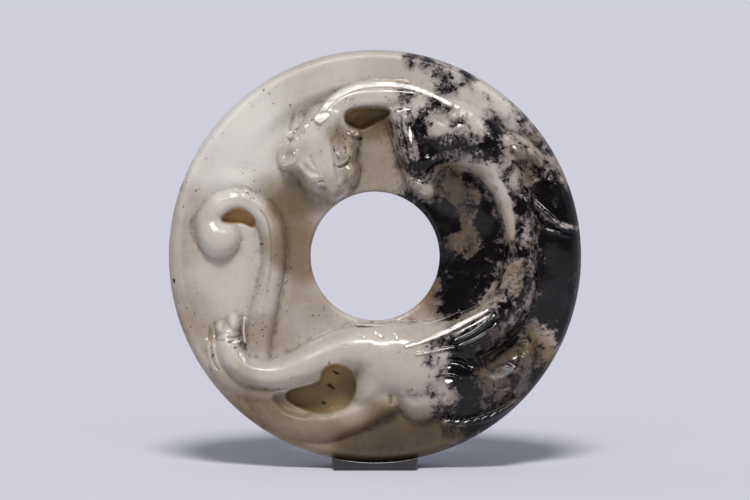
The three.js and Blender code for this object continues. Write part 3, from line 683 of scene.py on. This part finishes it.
# Small dark clouds beside the dark stone: x, z, radius
BLACK_CLOUDS = [
    (5.2, 27.2, 0.7), (7.4, 26.2, 0.7), (8.3, 25.2, 1.0), (8.6, 24.6, 0.6), (9.8, 25.8, 0.5),
    (12.6, 24.5, 0.6), (9.9, 23.2, 0.6), (10.2, 22.7, 0.5), (5.2, 21.9, 0.45), (7.4, 20.5, 0.5),
    (8.2, 20.1, 0.5), (9.3, 19.4, 0.5), (11.2, 18.2, 0.5), (6.6, 18.9, 0.6), (19.8, 18.6, 0.5),
    (22.0, 17.4, 0.7), (22.8, 15.6, 0.9), (20.4, 16.8, 0.5), (21.6, 14.2, 0.7), (23.6, 14.0, 0.8),
    (19.2, 12.6, 0.5), (19.6, 10.4, 0.6), (18.6, 8.0, 0.5), (19.8, 6.2, 0.6), (19.2, 3.4, 0.7),
    (20.2, 1.0, 0.6), (19.0, -1.6, 0.7), (19.8, -4.4, 0.6), (7.9, -18.4, 0.5), (5.4, -18.8, 0.3),
    (8.6, -14.0, 0.4),
]
# Single ink-like marks in the pale stone: x, z, length, half width, turn in degrees
INK_MARKS = [
    (-24.0, 9.0, 0.5, 0.16, 30), (-26.4, 9.3, 0.5, 0.2, 70), (-24.9, 12.7, 0.3, 0.14, 10),
    (-27.2, -3.4, 0.5, 0.2, 95), (-25.9, 6.8, 0.3, 0.12, 60), (-15.4, 1.6, 0.3, 0.12, 0),
    (-22.0, -13.5, 0.35, 0.15, 45), (-15.2, -23.2, 0.6, 0.2, 10), (-14.3, -23.6, 0.3, 0.15, 60),
    (-5.4, -15.8, 0.8, 0.24, -35), (-6.0, -17.7, 0.8, 0.24, -30), (-7.0, -19.9, 0.3, 0.3, 0),
    (-7.7, -22.7, 0.4, 0.12, 0), (-1.5, -22.4, 0.25, 0.12, 0), (-18.9, -12.4, 0.3, 0.12, 20),
]


# Limits of the signed depth into the dark stone, in millimetres, and how fast it grows outside a pale area
PALEST, DARKEST, DEEPEST = -3.0, 2.2, 3.0
DARKENING = 4.5


def dark_stone(x, z):
    """Signed depth in millimetres into the dark stone"""
    depth = np.full(x.shape, PALEST)
    for outline in BLACK_AREAS.values():
        depth = np.maximum(depth, signed_depth(x, z, outline))
    depth = np.minimum(depth, DEEPEST)
    for darkness, outline in MOTTLED_AREAS.values():
        depth = np.maximum(depth, np.minimum(signed_depth(x, z, outline), darkness))
    for cx, cz, radius in BLACK_CLOUDS:
        depth = np.maximum(depth, radius - np.hypot(x - cx, z - cz))
    for darkness, outline in PALE_AREAS.values():
        depth = np.minimum(depth, darkness - DARKENING * np.minimum(signed_depth(x, z, outline), 0))
    return np.clip(depth, PALEST, DARKEST)


def ink_marks(x, z):
    """Signed depth in millimetres into the nearest ink-like mark"""
    depth = np.full(x.shape, -1.0)
    for cx, cz, length, half_width, turn in INK_MARKS:
        reach = length / 2 * np.array((np.cos(np.radians(turn)), np.sin(np.radians(turn))))
        run = np.array([(cx, cz) - reach, (cx, cz) + reach])
        depth = np.maximum(depth, half_width - nearest(x, z, run)[0])
    return depth


# Tone of the paler stone, from 0, white, to 1, dark brown: x, z, reach, tone. The tones are partly the
# stone's own and partly painted shade: darker towards the bottom, with a painted shadow under the head and
# painted shade under the neck.
TONE_AND_SHADE_AREAS = {
    "white upper left": (-17, 17, 6.0, 0.01),
    "above the tail's curl": (-20, 10.5, 3.5, 0.05),
    "behind the tail's arch": (-14.5, 9.6, 1.4, 0.42),
    "top left": (-9, 22.5, 3.5, 0.22),
    "top": (-4, 25.5, 3.4, 0.19),
    "top right": (3, 25.5, 3.0, 0.3),
    "outside the shoulder": (14, 21.5, 4.0, 0.14),
    "neck": (0, 21.8, 2.6, 0.2),
    "neck by the shoulder": (7, 21.0, 2.4, 0.2),
    "left ground": (-19, -4, 3.5, 0.2),
    "left rim": (-26, 2, 2.2, 0.36),
    "lower left rim": (-25, -8, 2.5, 0.38),
    "rim by the curl": (-24, 7, 2.0, 0.3),
    "face": (-6.8, 13, 2.0, 0.2),
    "left ear": (-11.7, 13.8, 1.7, 0.37),
    "right eye": (-3.6, 12.5, 1.3, 0.46),
    "muzzle": (-7.4, 9.8, 1.7, 0.36),
    "left cheek": (-9.9, 11.2, 1.1, 0.46),
    "beside the right ear": (-4.8, 16.4, 1.3, 0.46),
    # painted shadow of the head on the ground below it
    "painted shadow under the head": (-11.8, 8.0, 2.0, 0.72),
    "left of the hole": (-10.6, 0.6, 2.4, 0.57),
    "lower left of the hole": (-10, -8, 2.6, 0.37),
    "above the hole": (0.8, 12, 2.2, 0.46),
    # painted shade under the neck's arch, round its hollow
    "painted shade under the neck": (0, 18, 1.5, 0.66),
    "tail": (-14, -4, 1.6, 0.28),
    "foot of the tail": (-14.5, -11, 2.0, 0.41),
    "tail's arch": (-18, 7.3, 1.6, 0.24),
    "tail's bulb": (-21, 2.4, 2.0, 0.2),
    "near hind leg": (-14, -15.5, 2.2, 0.23),
    "near heel": (-19.4, -13, 1.5, 0.2),
    "near thigh": (-7, -12, 2.4, 0.25),
    "loin": (0, -11.2, 2.2, 0.2),
    "rump": (4.5, -14, 2.6, 0.26),
    "behind the pit": (0.5, -16.5, 2.4, 0.33),
    "rump's foot": (6, -19.4, 2.0, 0.35),
    "below the near leg": (-18.5, -17.0, 2.0, 0.43),
    "lower left": (-16.5, -21, 2.6, 0.62),
    "tail below the pit": (-9, -23.2, 2.6, 0.59),
    "root of the tail": (-2.5, -21.2, 1.8, 0.38),
    # the bottom and lower right: darker stone with painted shade where the ground turns down away from the
    # light
    "bottom": (0, -24.8, 3.4, 0.86),
    "lower right": (8, -25, 2.6, 0.84),
    "recess": (12.5, 7, 3.0, 0.88),
    "lower recess": (11.5, -1.5, 3.4, 0.82),
    "outside of the back": (19.6, -0.8, 2.6, 0.5),
    "back behind the strip": (18.6, 4.6, 2.0, 0.36),
    "inner rim of the back": (16.4, 9.4, 1.8, 0.18),
    "inner rim by the shoulder": (13.3, 12.4, 1.3, 0.26),
    "lower inner rim of the back": (17.9, 4.8, 1.3, 0.25),
    "far hind paw": (17.8, -15.8, 3.4, 0.88),
    "far foreleg": (20.6, 13.2, 2.6, 0.42),
    "far forepaw": (23.5, 11.5, 1.8, 0.44),
    "loin's flash": (15.6, -6.0, 1.8, 0.4),
    "near forepaw": (6.2, 9.4, 1.5, 0.27),
    "shoulder": (11.2, 17.2, 2.6, 0.3),
}
# Tone of the stone that no area reaches, and how much it weighs beside one
PLAIN_TONE, PLAIN_WEIGHT = 0.3, 0.02

# Parts of the pale stone with a duller polish: x, z, reach
SATIN_AREAS = {
    "left cheek": (-9.2, 11.0, 1.5),
    "far hind paw": (17.0, -15.7, 1.6),
    "near hind leg": (-10.5, -15.0, 3.6),
    "near thigh": (-5.0, -13.0, 2.6),
    "tail below the pit": (-8.5, -22.8, 3.4),
    "tail by the pit": (-3.5, -21.5, 2.6),
}


def satin(x, z):
    """How dull the polish is: worn along the rim, and on some parts of the carving"""
    dull = smooth_step(DISC_RADIUS - 1.7, DISC_RADIUS - 0.8, np.hypot(x, z))
    for cx, cz, reach in SATIN_AREAS.values():
        dull = np.maximum(dull, np.exp(-(((x - cx) ** 2 + (z - cz) ** 2) / reach ** 2) ** 2))
    return dull


def tone_and_painted_shade(x, z):
    """Tone of the pale stone with its painted shade, a mean of the areas that weigh more the nearer they are
    """
    total = np.full(x.shape, PLAIN_WEIGHT * PLAIN_TONE)
    weight = np.full(x.shape, PLAIN_WEIGHT)
    for cx, cz, reach, tone in TONE_AND_SHADE_AREAS.values():
        share = np.exp(-((x - cx) ** 2 + (z - cz) ** 2) / reach ** 2)
        total += share * tone
        weight += share
    return total / weight


def box_blur(grid, reach, passes=3):
    """The grid smoothed over this many cells each way"""
    for _ in range(passes):
        for axis in (0, 1):
            padded = np.pad(grid, [(reach + 1, reach) if a == axis else (0, 0) for a in (0, 1)], mode="edge")
            total = np.cumsum(padded, axis=axis)
            width = 2 * reach + 1
            later = np.take(total, range(width, total.shape[axis]), axis=axis)
            earlier = np.take(total, range(0, total.shape[axis] - width), axis=axis)
            grid = (later - earlier) / width
    return grid


def sample_grid(grid, x, z, low, pitch):
    """The grid's values at places x, z, evened out between its points"""
    u, v = (x - low) / pitch, (z - low) / pitch
    i = np.clip(np.floor(u).astype(int), 0, grid.shape[1] - 2)
    j = np.clip(np.floor(v).astype(int), 0, grid.shape[0] - 2)
    fu, fv = np.clip(u - i, 0, 1), np.clip(v - j, 0, 1)
    lower = grid[j, i] * (1 - fu) + grid[j, i + 1] * fu
    upper = grid[j + 1, i] * (1 - fu) + grid[j + 1, i + 1] * fu
    return lower * (1 - fv) + upper * fv


def crevices(x, z):
    """How far each place lies below the carving around it, from the height of the face on a square grid"""
    pitch, reach = 0.15, DISC_RADIUS + 1
    count = int(round(2 * reach / pitch)) + 1
    line = pitch * np.arange(count) - reach
    grid_x, grid_z = np.meshgrid(line, line)
    height = carved_height(grid_x.ravel(), grid_z.ravel()).reshape(count, count)
    fine = box_blur(height, 2) - height
    broad = box_blur(height, 9) - height
    both = np.clip(fine / 0.35, 0, 1) * 0.75 + np.clip(broad / 1.8, 0, 1) * 0.5
    return sample_grid(both, x, z, -reach, pitch)


def store(mesh, name, values):
    """Keeps one value for each vertex, for the material to read"""
    attribute = mesh.attributes.new(name, "FLOAT", "POINT")
    attribute.data.foreach_set("value", values.astype(np.float32))


def paint_stone(mesh):
    """Stores what the stone is like, and where shade is painted on it. Dark stone runs through to the back,
    but cuts show only on the front.
    """
    x, y, z = vertex_places(mesh).T
    front = smooth_step(2.4, -0.4, y)
    pits = [signed_depth(x, z, outline)
            for outline in (PIT_BESIDE_HIND_LEG, PIT_UNDER_NECK, PIT_IN_TAIL_CURL)]
    store(mesh, "dark_stone", dark_stone(x, z))
    store(mesh, "ink_marks", ink_marks(x, z))
    store(mesh, "tone_and_painted_shade", tone_and_painted_shade(x, z))
    # depth in the crevices, which the material paints as brown patina and shade
    store(mesh, "crevice", crevices(x, z) * front)
    store(mesh, "satin", satin(x, z))
    store(mesh, "drilled", smooth_step(-0.25, 0.05, np.max(pits, axis=0)) * front)


def place_on_cradle(mesh):
    """From its own place and millimetres to where it leans in its cradle, in metres"""
    place = Matrix.Translation(DISC_CENTRE * MM) @ Matrix.Rotation(-LEAN, 4, "X") @ Matrix.Scale(MM, 4)
    mesh.transform(place)
    mesh.update()


def make_disc():
    """The disc as one mesh, with what its stone is like at each place stored on it"""
    steps, face_rows = ((1500, 230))
    mesh = ring_mesh(steps, face_rows)
    carve_disc(mesh)
    mesh = thin_mesh(mesh, DISC_TRIANGLES)
    paint_stone(mesh)
    place_on_cradle(mesh)
    mesh.shade_smooth()
    disc = bpy.data.objects.new("jade_disc_carved", mesh)
    bpy.context.scene.collection.objects.link(disc)
    return disc


# The cradle, in millimetres

CRADLE_FOOT = 5.5        # half width at the foot
CRADLE_TIP = 5.9         # half width at the tips, which flare a little
CRADLE_DIP = 0.63        # how far the top dips from its tips to the middle
# Stations from front to back: depth and height of the tips. The disc's rim stands in the low middle.
CRADLE_STATIONS = [
    (-5.5, 1.75), (-3.4, 1.75), (-2.7, 1.3), (-1.9, 1.1), (-0.1, 1.1), (0.9, 1.25), (1.8, 1.6), (2.5, 2.2),
    (2.65, 3.35), (5.5, 3.35),
]


def cradle_top(x, tip_height):
    """Height of the cradle's dished top"""
    return tip_height - CRADLE_DIP * (1 - (x / CRADLE_TIP) ** 2)


def make_cradle():
    """The cradle's front outline, extruded from station to station"""
    bm = bmesh.new()
    depth, tip_height = CRADLE_STATIONS[0]
    outline = [(-CRADLE_FOOT, 0.0), (CRADLE_FOOT, 0.0)]
    outline += [(x, cradle_top(x, tip_height)) for x in np.linspace(CRADLE_TIP, -CRADLE_TIP, 17)]
    front = bm.faces.new([bm.verts.new((x, depth, z)) for x, z in outline])
    edges = list(front.edges)
    for depth, tip_height in CRADLE_STATIONS[1:]:
        grown = bmesh.ops.extrude_edge_only(bm, edges=edges)["geom"]
        edges = [item for item in grown if isinstance(item, bmesh.types.BMEdge)]
        for vert in {vert for edge in edges for vert in edge.verts}:
            vert.co.y = depth
            if vert.co.z > 0:
                vert.co.z = cradle_top(vert.co.x, tip_height)
    bmesh.ops.contextual_create(bm, geom=edges)
    bmesh.ops.recalc_face_normals(bm, faces=bm.faces)
    mesh = bpy.data.meshes.new("display_cradle_body")
    bm.to_mesh(mesh)
    bm.free()
    mesh.transform(Matrix.Scale(MM, 4))
    mesh.shade_smooth()
    cradle = bpy.data.objects.new("display_cradle_body", mesh)
    bpy.context.scene.collection.objects.link(cradle)
    bevel = cradle.modifiers.new("soft_edges", "BEVEL")
    bevel.affect = "EDGES"
    bevel.width = 0.13 * MM
    bevel.segments = 2
    bevel.profile = 0.5
    bevel.material = -1
    bevel.limit_method = "ANGLE"
    bevel.angle_limit = math.radians(35)
    bevel.harden_normals = True
    return cradle


# Materials

class Nodes:
    """Short calls for adding and linking shader nodes"""

    def __init__(self, tree):
        self.tree = tree

    def add(self, kind, **settings):
        """A new node with these settings"""
        node = self.tree.nodes.new(kind)
        for name, value in settings.items():
            setattr(node, name, value)
        return node

    def link(self, source, target):
        """Joins an output to an input"""
        self.tree.links.new(source, target)

    def feed(self, value, socket):
        """Links a socket, or sets a plain value"""
        if isinstance(value, bpy.types.NodeSocket):
            self.link(value, socket)
        else:
            socket.default_value = value

    def math(self, operation, a, b=0.0, clamp=False):
        """The sum, product or other result of two values"""
        node = self.add("ShaderNodeMath", operation=operation, use_clamp=clamp)
        self.feed(a, node.inputs[0])
        self.feed(b, node.inputs[1])
        return node.outputs[0]

    def noise(self, scale, detail, roughness, vector, distortion=0.0):
        """Cloudy noise; its scale is in clouds to the metre"""
        node = self.add("ShaderNodeTexNoise")
        node.inputs["Scale"].default_value = scale
        node.inputs["Detail"].default_value = detail
        node.inputs["Roughness"].default_value = roughness
        node.inputs["Distortion"].default_value = distortion
        self.feed(vector, node.inputs["Vector"])
        return node.outputs["Fac"]

    def ramp(self, value, low, high):
        """An even ease from 0 at low to 1 at high"""
        node = self.add("ShaderNodeMapRange", interpolation_type="SMOOTHSTEP")
        self.feed(value, node.inputs["Value"])
        node.inputs["From Min"].default_value = low
        node.inputs["From Max"].default_value = high
        return node.outputs["Result"]

    def mix(self, factor, first, second):
        """One colour to another"""
        node = self.add("ShaderNodeMix", data_type="RGBA")
        self.feed(factor, node.inputs["Factor"])
        self.feed(first, node.inputs["A"])
        self.feed(second, node.inputs["B"])
        return node.outputs["Result"]

    def colours(self, value, stops):
        """Colours along a value, from stops of place and colour"""
        node = self.add("ShaderNodeValToRGB")
        while len(node.color_ramp.elements) < len(stops):
            node.color_ramp.elements.new(1.0)
        for element, (position, colour) in zip(node.color_ramp.elements, stops):
            element.position, element.color = position, (*colour, 1)
        self.feed(value, node.inputs["Fac"])
        return node.outputs["Color"]

    def attribute(self, name):
        """A value that is stored on the mesh"""
        return self.add("ShaderNodeAttribute", attribute_name=name).outputs["Fac"]


def new_material(name):
    """A material, short calls for its nodes, and its shader"""
    material = bpy.data.materials.new(name)
    material.use_nodes = True
    tree = material.node_tree
    return material, Nodes(tree), tree.nodes["Principled BSDF"]


# Colours of the pale stone along its tone, from greenish white to dark brown; the darker colours also paint
# shade
TONE_COLOURS = [
    (0.0, (0.635, 0.622, 0.575)), (0.2, (0.510, 0.472, 0.420)), (0.32, (0.430, 0.375, 0.332)),
    (0.45, (0.320, 0.262, 0.196)), (0.58, (0.225, 0.168, 0.110)), (0.72, (0.150, 0.101, 0.046)),
    (0.86, (0.086, 0.067, 0.044)), (1.0, (0.050, 0.030, 0.012)),
]
# Colours of the stone in the drilled hollows, along the same tone: brown stone, lit by a painted warm glow
# through the stone where the tone is pale and darkened by painted shade where it is dark
HOLLOW_STONE_SHADE_AND_GLOW_COLOURS = [
    (0.24, (0.520, 0.330, 0.140)), (0.34, (0.240, 0.185, 0.085)), (0.52, (0.300, 0.200, 0.090)),
    (0.64, (0.130, 0.062, 0.010)),
]
BROWN_SPECK = (0.110, 0.060, 0.038, 1)
INK_BROWN = (0.030, 0.016, 0.010, 1)
# Clouds where the dark stone thins out: mauve in pale stone, brown in brown stone and in painted shade, and
# darker patches in both
MAUVE_CLOUD = (0.370, 0.310, 0.318, 1)
BROWN_CLOUD = (0.170, 0.138, 0.124, 1)
DARK_CLOUD = (0.050, 0.038, 0.034, 1)
BLUE_BLACK = (0.0028, 0.0026, 0.0032, 1)
BROWN_BLACK = (0.014, 0.011, 0.010, 1)


def jade_material():
    """White and black nephrite, polished, with rusty veins and specks, and hollows painted brown with shade
    and a warm glow through the stone
    """
    material, n, shader = new_material("black_and_white_jade")
    place = n.add("ShaderNodeTexCoord").outputs["Object"]
    dark, tone = n.attribute("dark_stone"), n.attribute("tone_and_painted_shade")
    crevice, drilled = n.attribute("crevice"), n.attribute("drilled")

    def spread(noise, amount):
        """The noise as an amount to either side of nothing"""
        return n.math("MULTIPLY", n.math("SUBTRACT", noise, 0.5), amount)

    # pale stone: clouds, brown patina with painted shade in the cuts, thin rusty veins and scattered brown
    # specks
    broad_cloud = n.noise(130, 5, 0.6, place)
    mottle = n.noise(600, 4, 0.65, place)
    clouded = n.math("ADD", n.math("ADD", tone, spread(broad_cloud, 0.34)), spread(mottle, 0.16))
    # browner where the face is sunk below the carving round it: partly patina, partly painted shade in
    # creases and recesses
    crevice_patina_and_shade = n.math("MULTIPLY", crevice, n.ramp(n.noise(900, 5, 0.7, place), 0.4, 0.75))
    ridge = n.math("ABSOLUTE", n.math("SUBTRACT", n.noise(190, 3, 0.5, place, 1.2), 0.5))
    vein = n.math("MULTIPLY", n.ramp(ridge, 0.012, 0.0), n.ramp(n.noise(110, 2, 0.5, place), 0.56, 0.66))
    patina_and_shade_browned = n.math("ADD", clouded, n.math("MULTIPLY", crevice_patina_and_shade, 0.34))
    toned = n.math("ADD", patina_and_shade_browned, n.math("MULTIPLY", vein, 0.1), clamp=True)
    pale = n.colours(toned, TONE_COLOURS)
    in_crevices = n.math("MULTIPLY", crevice, 0.5)
    speck_patches = n.math("ADD", n.ramp(broad_cloud, 0.46, 0.68), in_crevices, clamp=True)
    speck = n.math("MULTIPLY", n.ramp(n.noise(1700, 2, 0.5, place), 0.65, 0.685), speck_patches)
    pale = n.mix(speck, pale, BROWN_SPECK)

    # hollows with painted shade and a painted warm glow, and ink-like marks
    hollow_stone_shade_and_glow = n.colours(tone, HOLLOW_STONE_SHADE_AND_GLOW_COLOURS)
    pale = n.mix(n.math("MULTIPLY", drilled, 0.97), pale, hollow_stone_shade_and_glow)
    ragged_mark = n.math("ADD", n.attribute("ink_marks"), spread(n.noise(2400, 3, 0.6, place), 0.5))
    pale = n.mix(n.ramp(ragged_mark, -0.04, 0.1), pale, INK_BROWN)

    # dark stone: grey-mauve clouds where it thins out, peppered with black at several sizes
    coarse = spread(n.noise(300, 5, 0.65, place), 7.0)
    ragged = spread(n.noise(950, 5, 0.72, place), 8.5)
    fine = spread(n.noise(2600, 3, 0.6, place), 3.0)
    clouds = n.math("ADD", dark, coarse)
    light_grey = n.mix(n.ramp(tone, 0.3, 0.85), MAUVE_CLOUD, BROWN_CLOUD)
    grey = n.mix(n.ramp(n.noise(520, 5, 0.65, place), 0.36, 0.6), light_grey, DARK_CLOUD)
    stone = n.mix(n.ramp(clouds, -1.6, 1.0), pale, grey)
    pepper = n.ramp(n.math("ADD", n.math("ADD", clouds, ragged), fine), -0.5, 1.1)
    deep = n.mix(n.ramp(n.noise(420, 4, 0.65, place), 0.45, 0.75), BLUE_BLACK, BROWN_BLACK)
    n.link(n.mix(pepper, stone, deep), shader.inputs["Base Color"])

    # polish: glassy on the dark stone, a little grainy on the pale stone, dull where it is worn
    grain = n.ramp(n.noise(1400, 3, 0.5, place), 0.3, 0.8)
    pale_grain = n.math("MULTIPLY", n.math("SUBTRACT", 1.0, pepper), n.ramp(mottle, 0.3, 0.6))
    gloss = n.math("ADD", n.math("MULTIPLY", grain, 0.07), n.math("MULTIPLY", pale_grain, 0.14))
    dull = n.math("ADD", 0.10, n.math("MULTIPLY", n.attribute("satin"), 0.32))
    n.link(n.math("ADD", dull, gloss), shader.inputs["Roughness"])
    bump = n.add("ShaderNodeBump")
    bump.inputs["Strength"].default_value = 0.35
    bump.inputs["Distance"].default_value = 0.0001
    n.link(n.noise(620, 4, 0.6, place), bump.inputs["Height"])
    n.link(bump.outputs["Normal"], shader.inputs["Normal"])
    shader.inputs["IOR"].default_value = 1.61
    shader.inputs["Specular IOR Level"].default_value = 0.24
    shader.inputs["Subsurface Weight"].default_value = 0.6
    shader.inputs["Subsurface Radius"].default_value = (1.0, 0.9, 0.7)
    shader.inputs["Subsurface Scale"].default_value = 0.0025
    return material


def cradle_material():
    """Black gloss with a little dust"""
    material, n, shader = new_material("black_gloss")
    place = n.add("ShaderNodeTexCoord").outputs["Object"]
    dust = n.ramp(n.noise(900, 5, 0.6, place), 0.5, 0.8)
    n.link(n.mix(dust, (0.012, 0.010, 0.010, 1), (0.035, 0.030, 0.030, 1)), shader.inputs["Base Color"])
    n.link(n.math("ADD", 0.14, n.math("MULTIPLY", dust, 0.2)), shader.inputs["Roughness"])
    shader.inputs["Coat Weight"].default_value = 0.4
    shader.inputs["Coat Roughness"].default_value = 0.08
    return material


def floor_material():
    """Plain pale matt floor"""
    material, n, shader = new_material("pale_floor")
    place = n.add("ShaderNodeTexCoord").outputs["Object"]
    cloud = n.noise(3, 2, 0.5, place)
    n.link(n.mix(cloud, (0.70, 0.702, 0.772, 1), (0.72, 0.722, 0.792, 1)), shader.inputs["Base Color"])
    shader.inputs["Roughness"].default_value = 0.9
    return material


# Room, light and camera

def make_floor():
    """A pale floor that reaches past the camera's view"""
    bm = bmesh.new()
    bmesh.ops.create_grid(bm, x_segments=1, y_segments=1, size=12)
    mesh = bpy.data.meshes.new("floor")
    bm.to_mesh(mesh)
    bm.free()
    mesh.materials.append(floor_material())
    floor = bpy.data.objects.new("floor", mesh)
    bpy.context.scene.collection.objects.link(floor)


def softbox(name, direction, energy, angle):
    """A broad, far lamp that shines in this direction; its angle in degrees is its width in the sky"""
    light = bpy.data.lights.new(name, "SUN")
    light.energy = energy
    light.angle = math.radians(angle)
    light.color = (1.0, 0.985, 0.975)
    lamp = bpy.data.objects.new(name, light)
    lamp.rotation_euler = Vector(direction).to_track_quat("-Z", "Y").to_euler()
    bpy.context.scene.collection.objects.link(lamp)
    return lamp


def light_room():
    """A large softbox above and in front, a fill, two small lamps for glints, and a dim room"""
    softbox("key_softbox", (0, 0.66, -0.75), 2.55, 15)
    # a broad fill from the front that leaves no reflection in the polish
    fill = softbox("front_fill", (0, 1, -0.05), 0.7, 90)
    fill.visible_glossy = False
    # two small lamps beside the key, which only add glints
    for name, direction, energy in (
        ("left_glint", (0.27, 0.68, -0.70), 2.2),
        ("right_glint", (-0.34, 0.68, -0.65), 0.6),
    ):
        softbox(name, direction, energy, 12).visible_diffuse = False
    world = bpy.data.worlds.new("studio")
    world.use_nodes = True
    n = Nodes(world.node_tree)
    background = world.node_tree.nodes["Background"]
    # the room is dim on the side that the carved face looks at
    facing = n.add("ShaderNodeSeparateXYZ")
    n.link(n.add("ShaderNodeTexCoord").outputs["Generated"], facing.inputs[0])
    wall = n.mix(n.ramp(facing.outputs["Y"], -0.7, 0.3), (0.08, 0.08, 0.095, 1), (0.31, 0.32, 0.385, 1))
    n.link(wall, background.inputs["Color"])
    bpy.context.scene.world = world
    bpy.context.scene.view_settings.view_transform = "Standard"


# The camera looks square at the leaning disc: its distance, how wide a view it has there, and its aim
CAMERA_DISTANCE = 1.2
VIEW_WIDTH = 101.942 * MM
AIM_ABOVE_CENTRE = 0.816 * MM


def make_camera():
    """A camera that looks down on the disc by the angle at which it leans back"""
    direction = Vector((0, -math.cos(LEAN), math.sin(LEAN)))
    up = Vector((0, math.sin(LEAN), math.cos(LEAN)))
    aim = DISC_CENTRE * MM + up * AIM_ABOVE_CENTRE
    data = bpy.data.cameras.new("camera")
    data.lens = data.sensor_width * CAMERA_DISTANCE / VIEW_WIDTH
    data.clip_start = 0.05
    data.clip_end = 60
    camera = bpy.data.objects.new("camera", data)
    camera.location = aim + direction * CAMERA_DISTANCE
    camera.rotation_euler = (-direction).to_track_quat("-Z", "Y").to_euler()
    bpy.context.scene.collection.objects.link(camera)
    bpy.context.scene.camera = camera


disc = make_disc()
disc.data.materials.append(jade_material())
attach(disc, "root")
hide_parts("jade_disc")

cradle = make_cradle()
cradle.data.materials.append(cradle_material())
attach(cradle, "root")
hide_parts("display_cradle")

make_floor()
light_room()
make_camera()
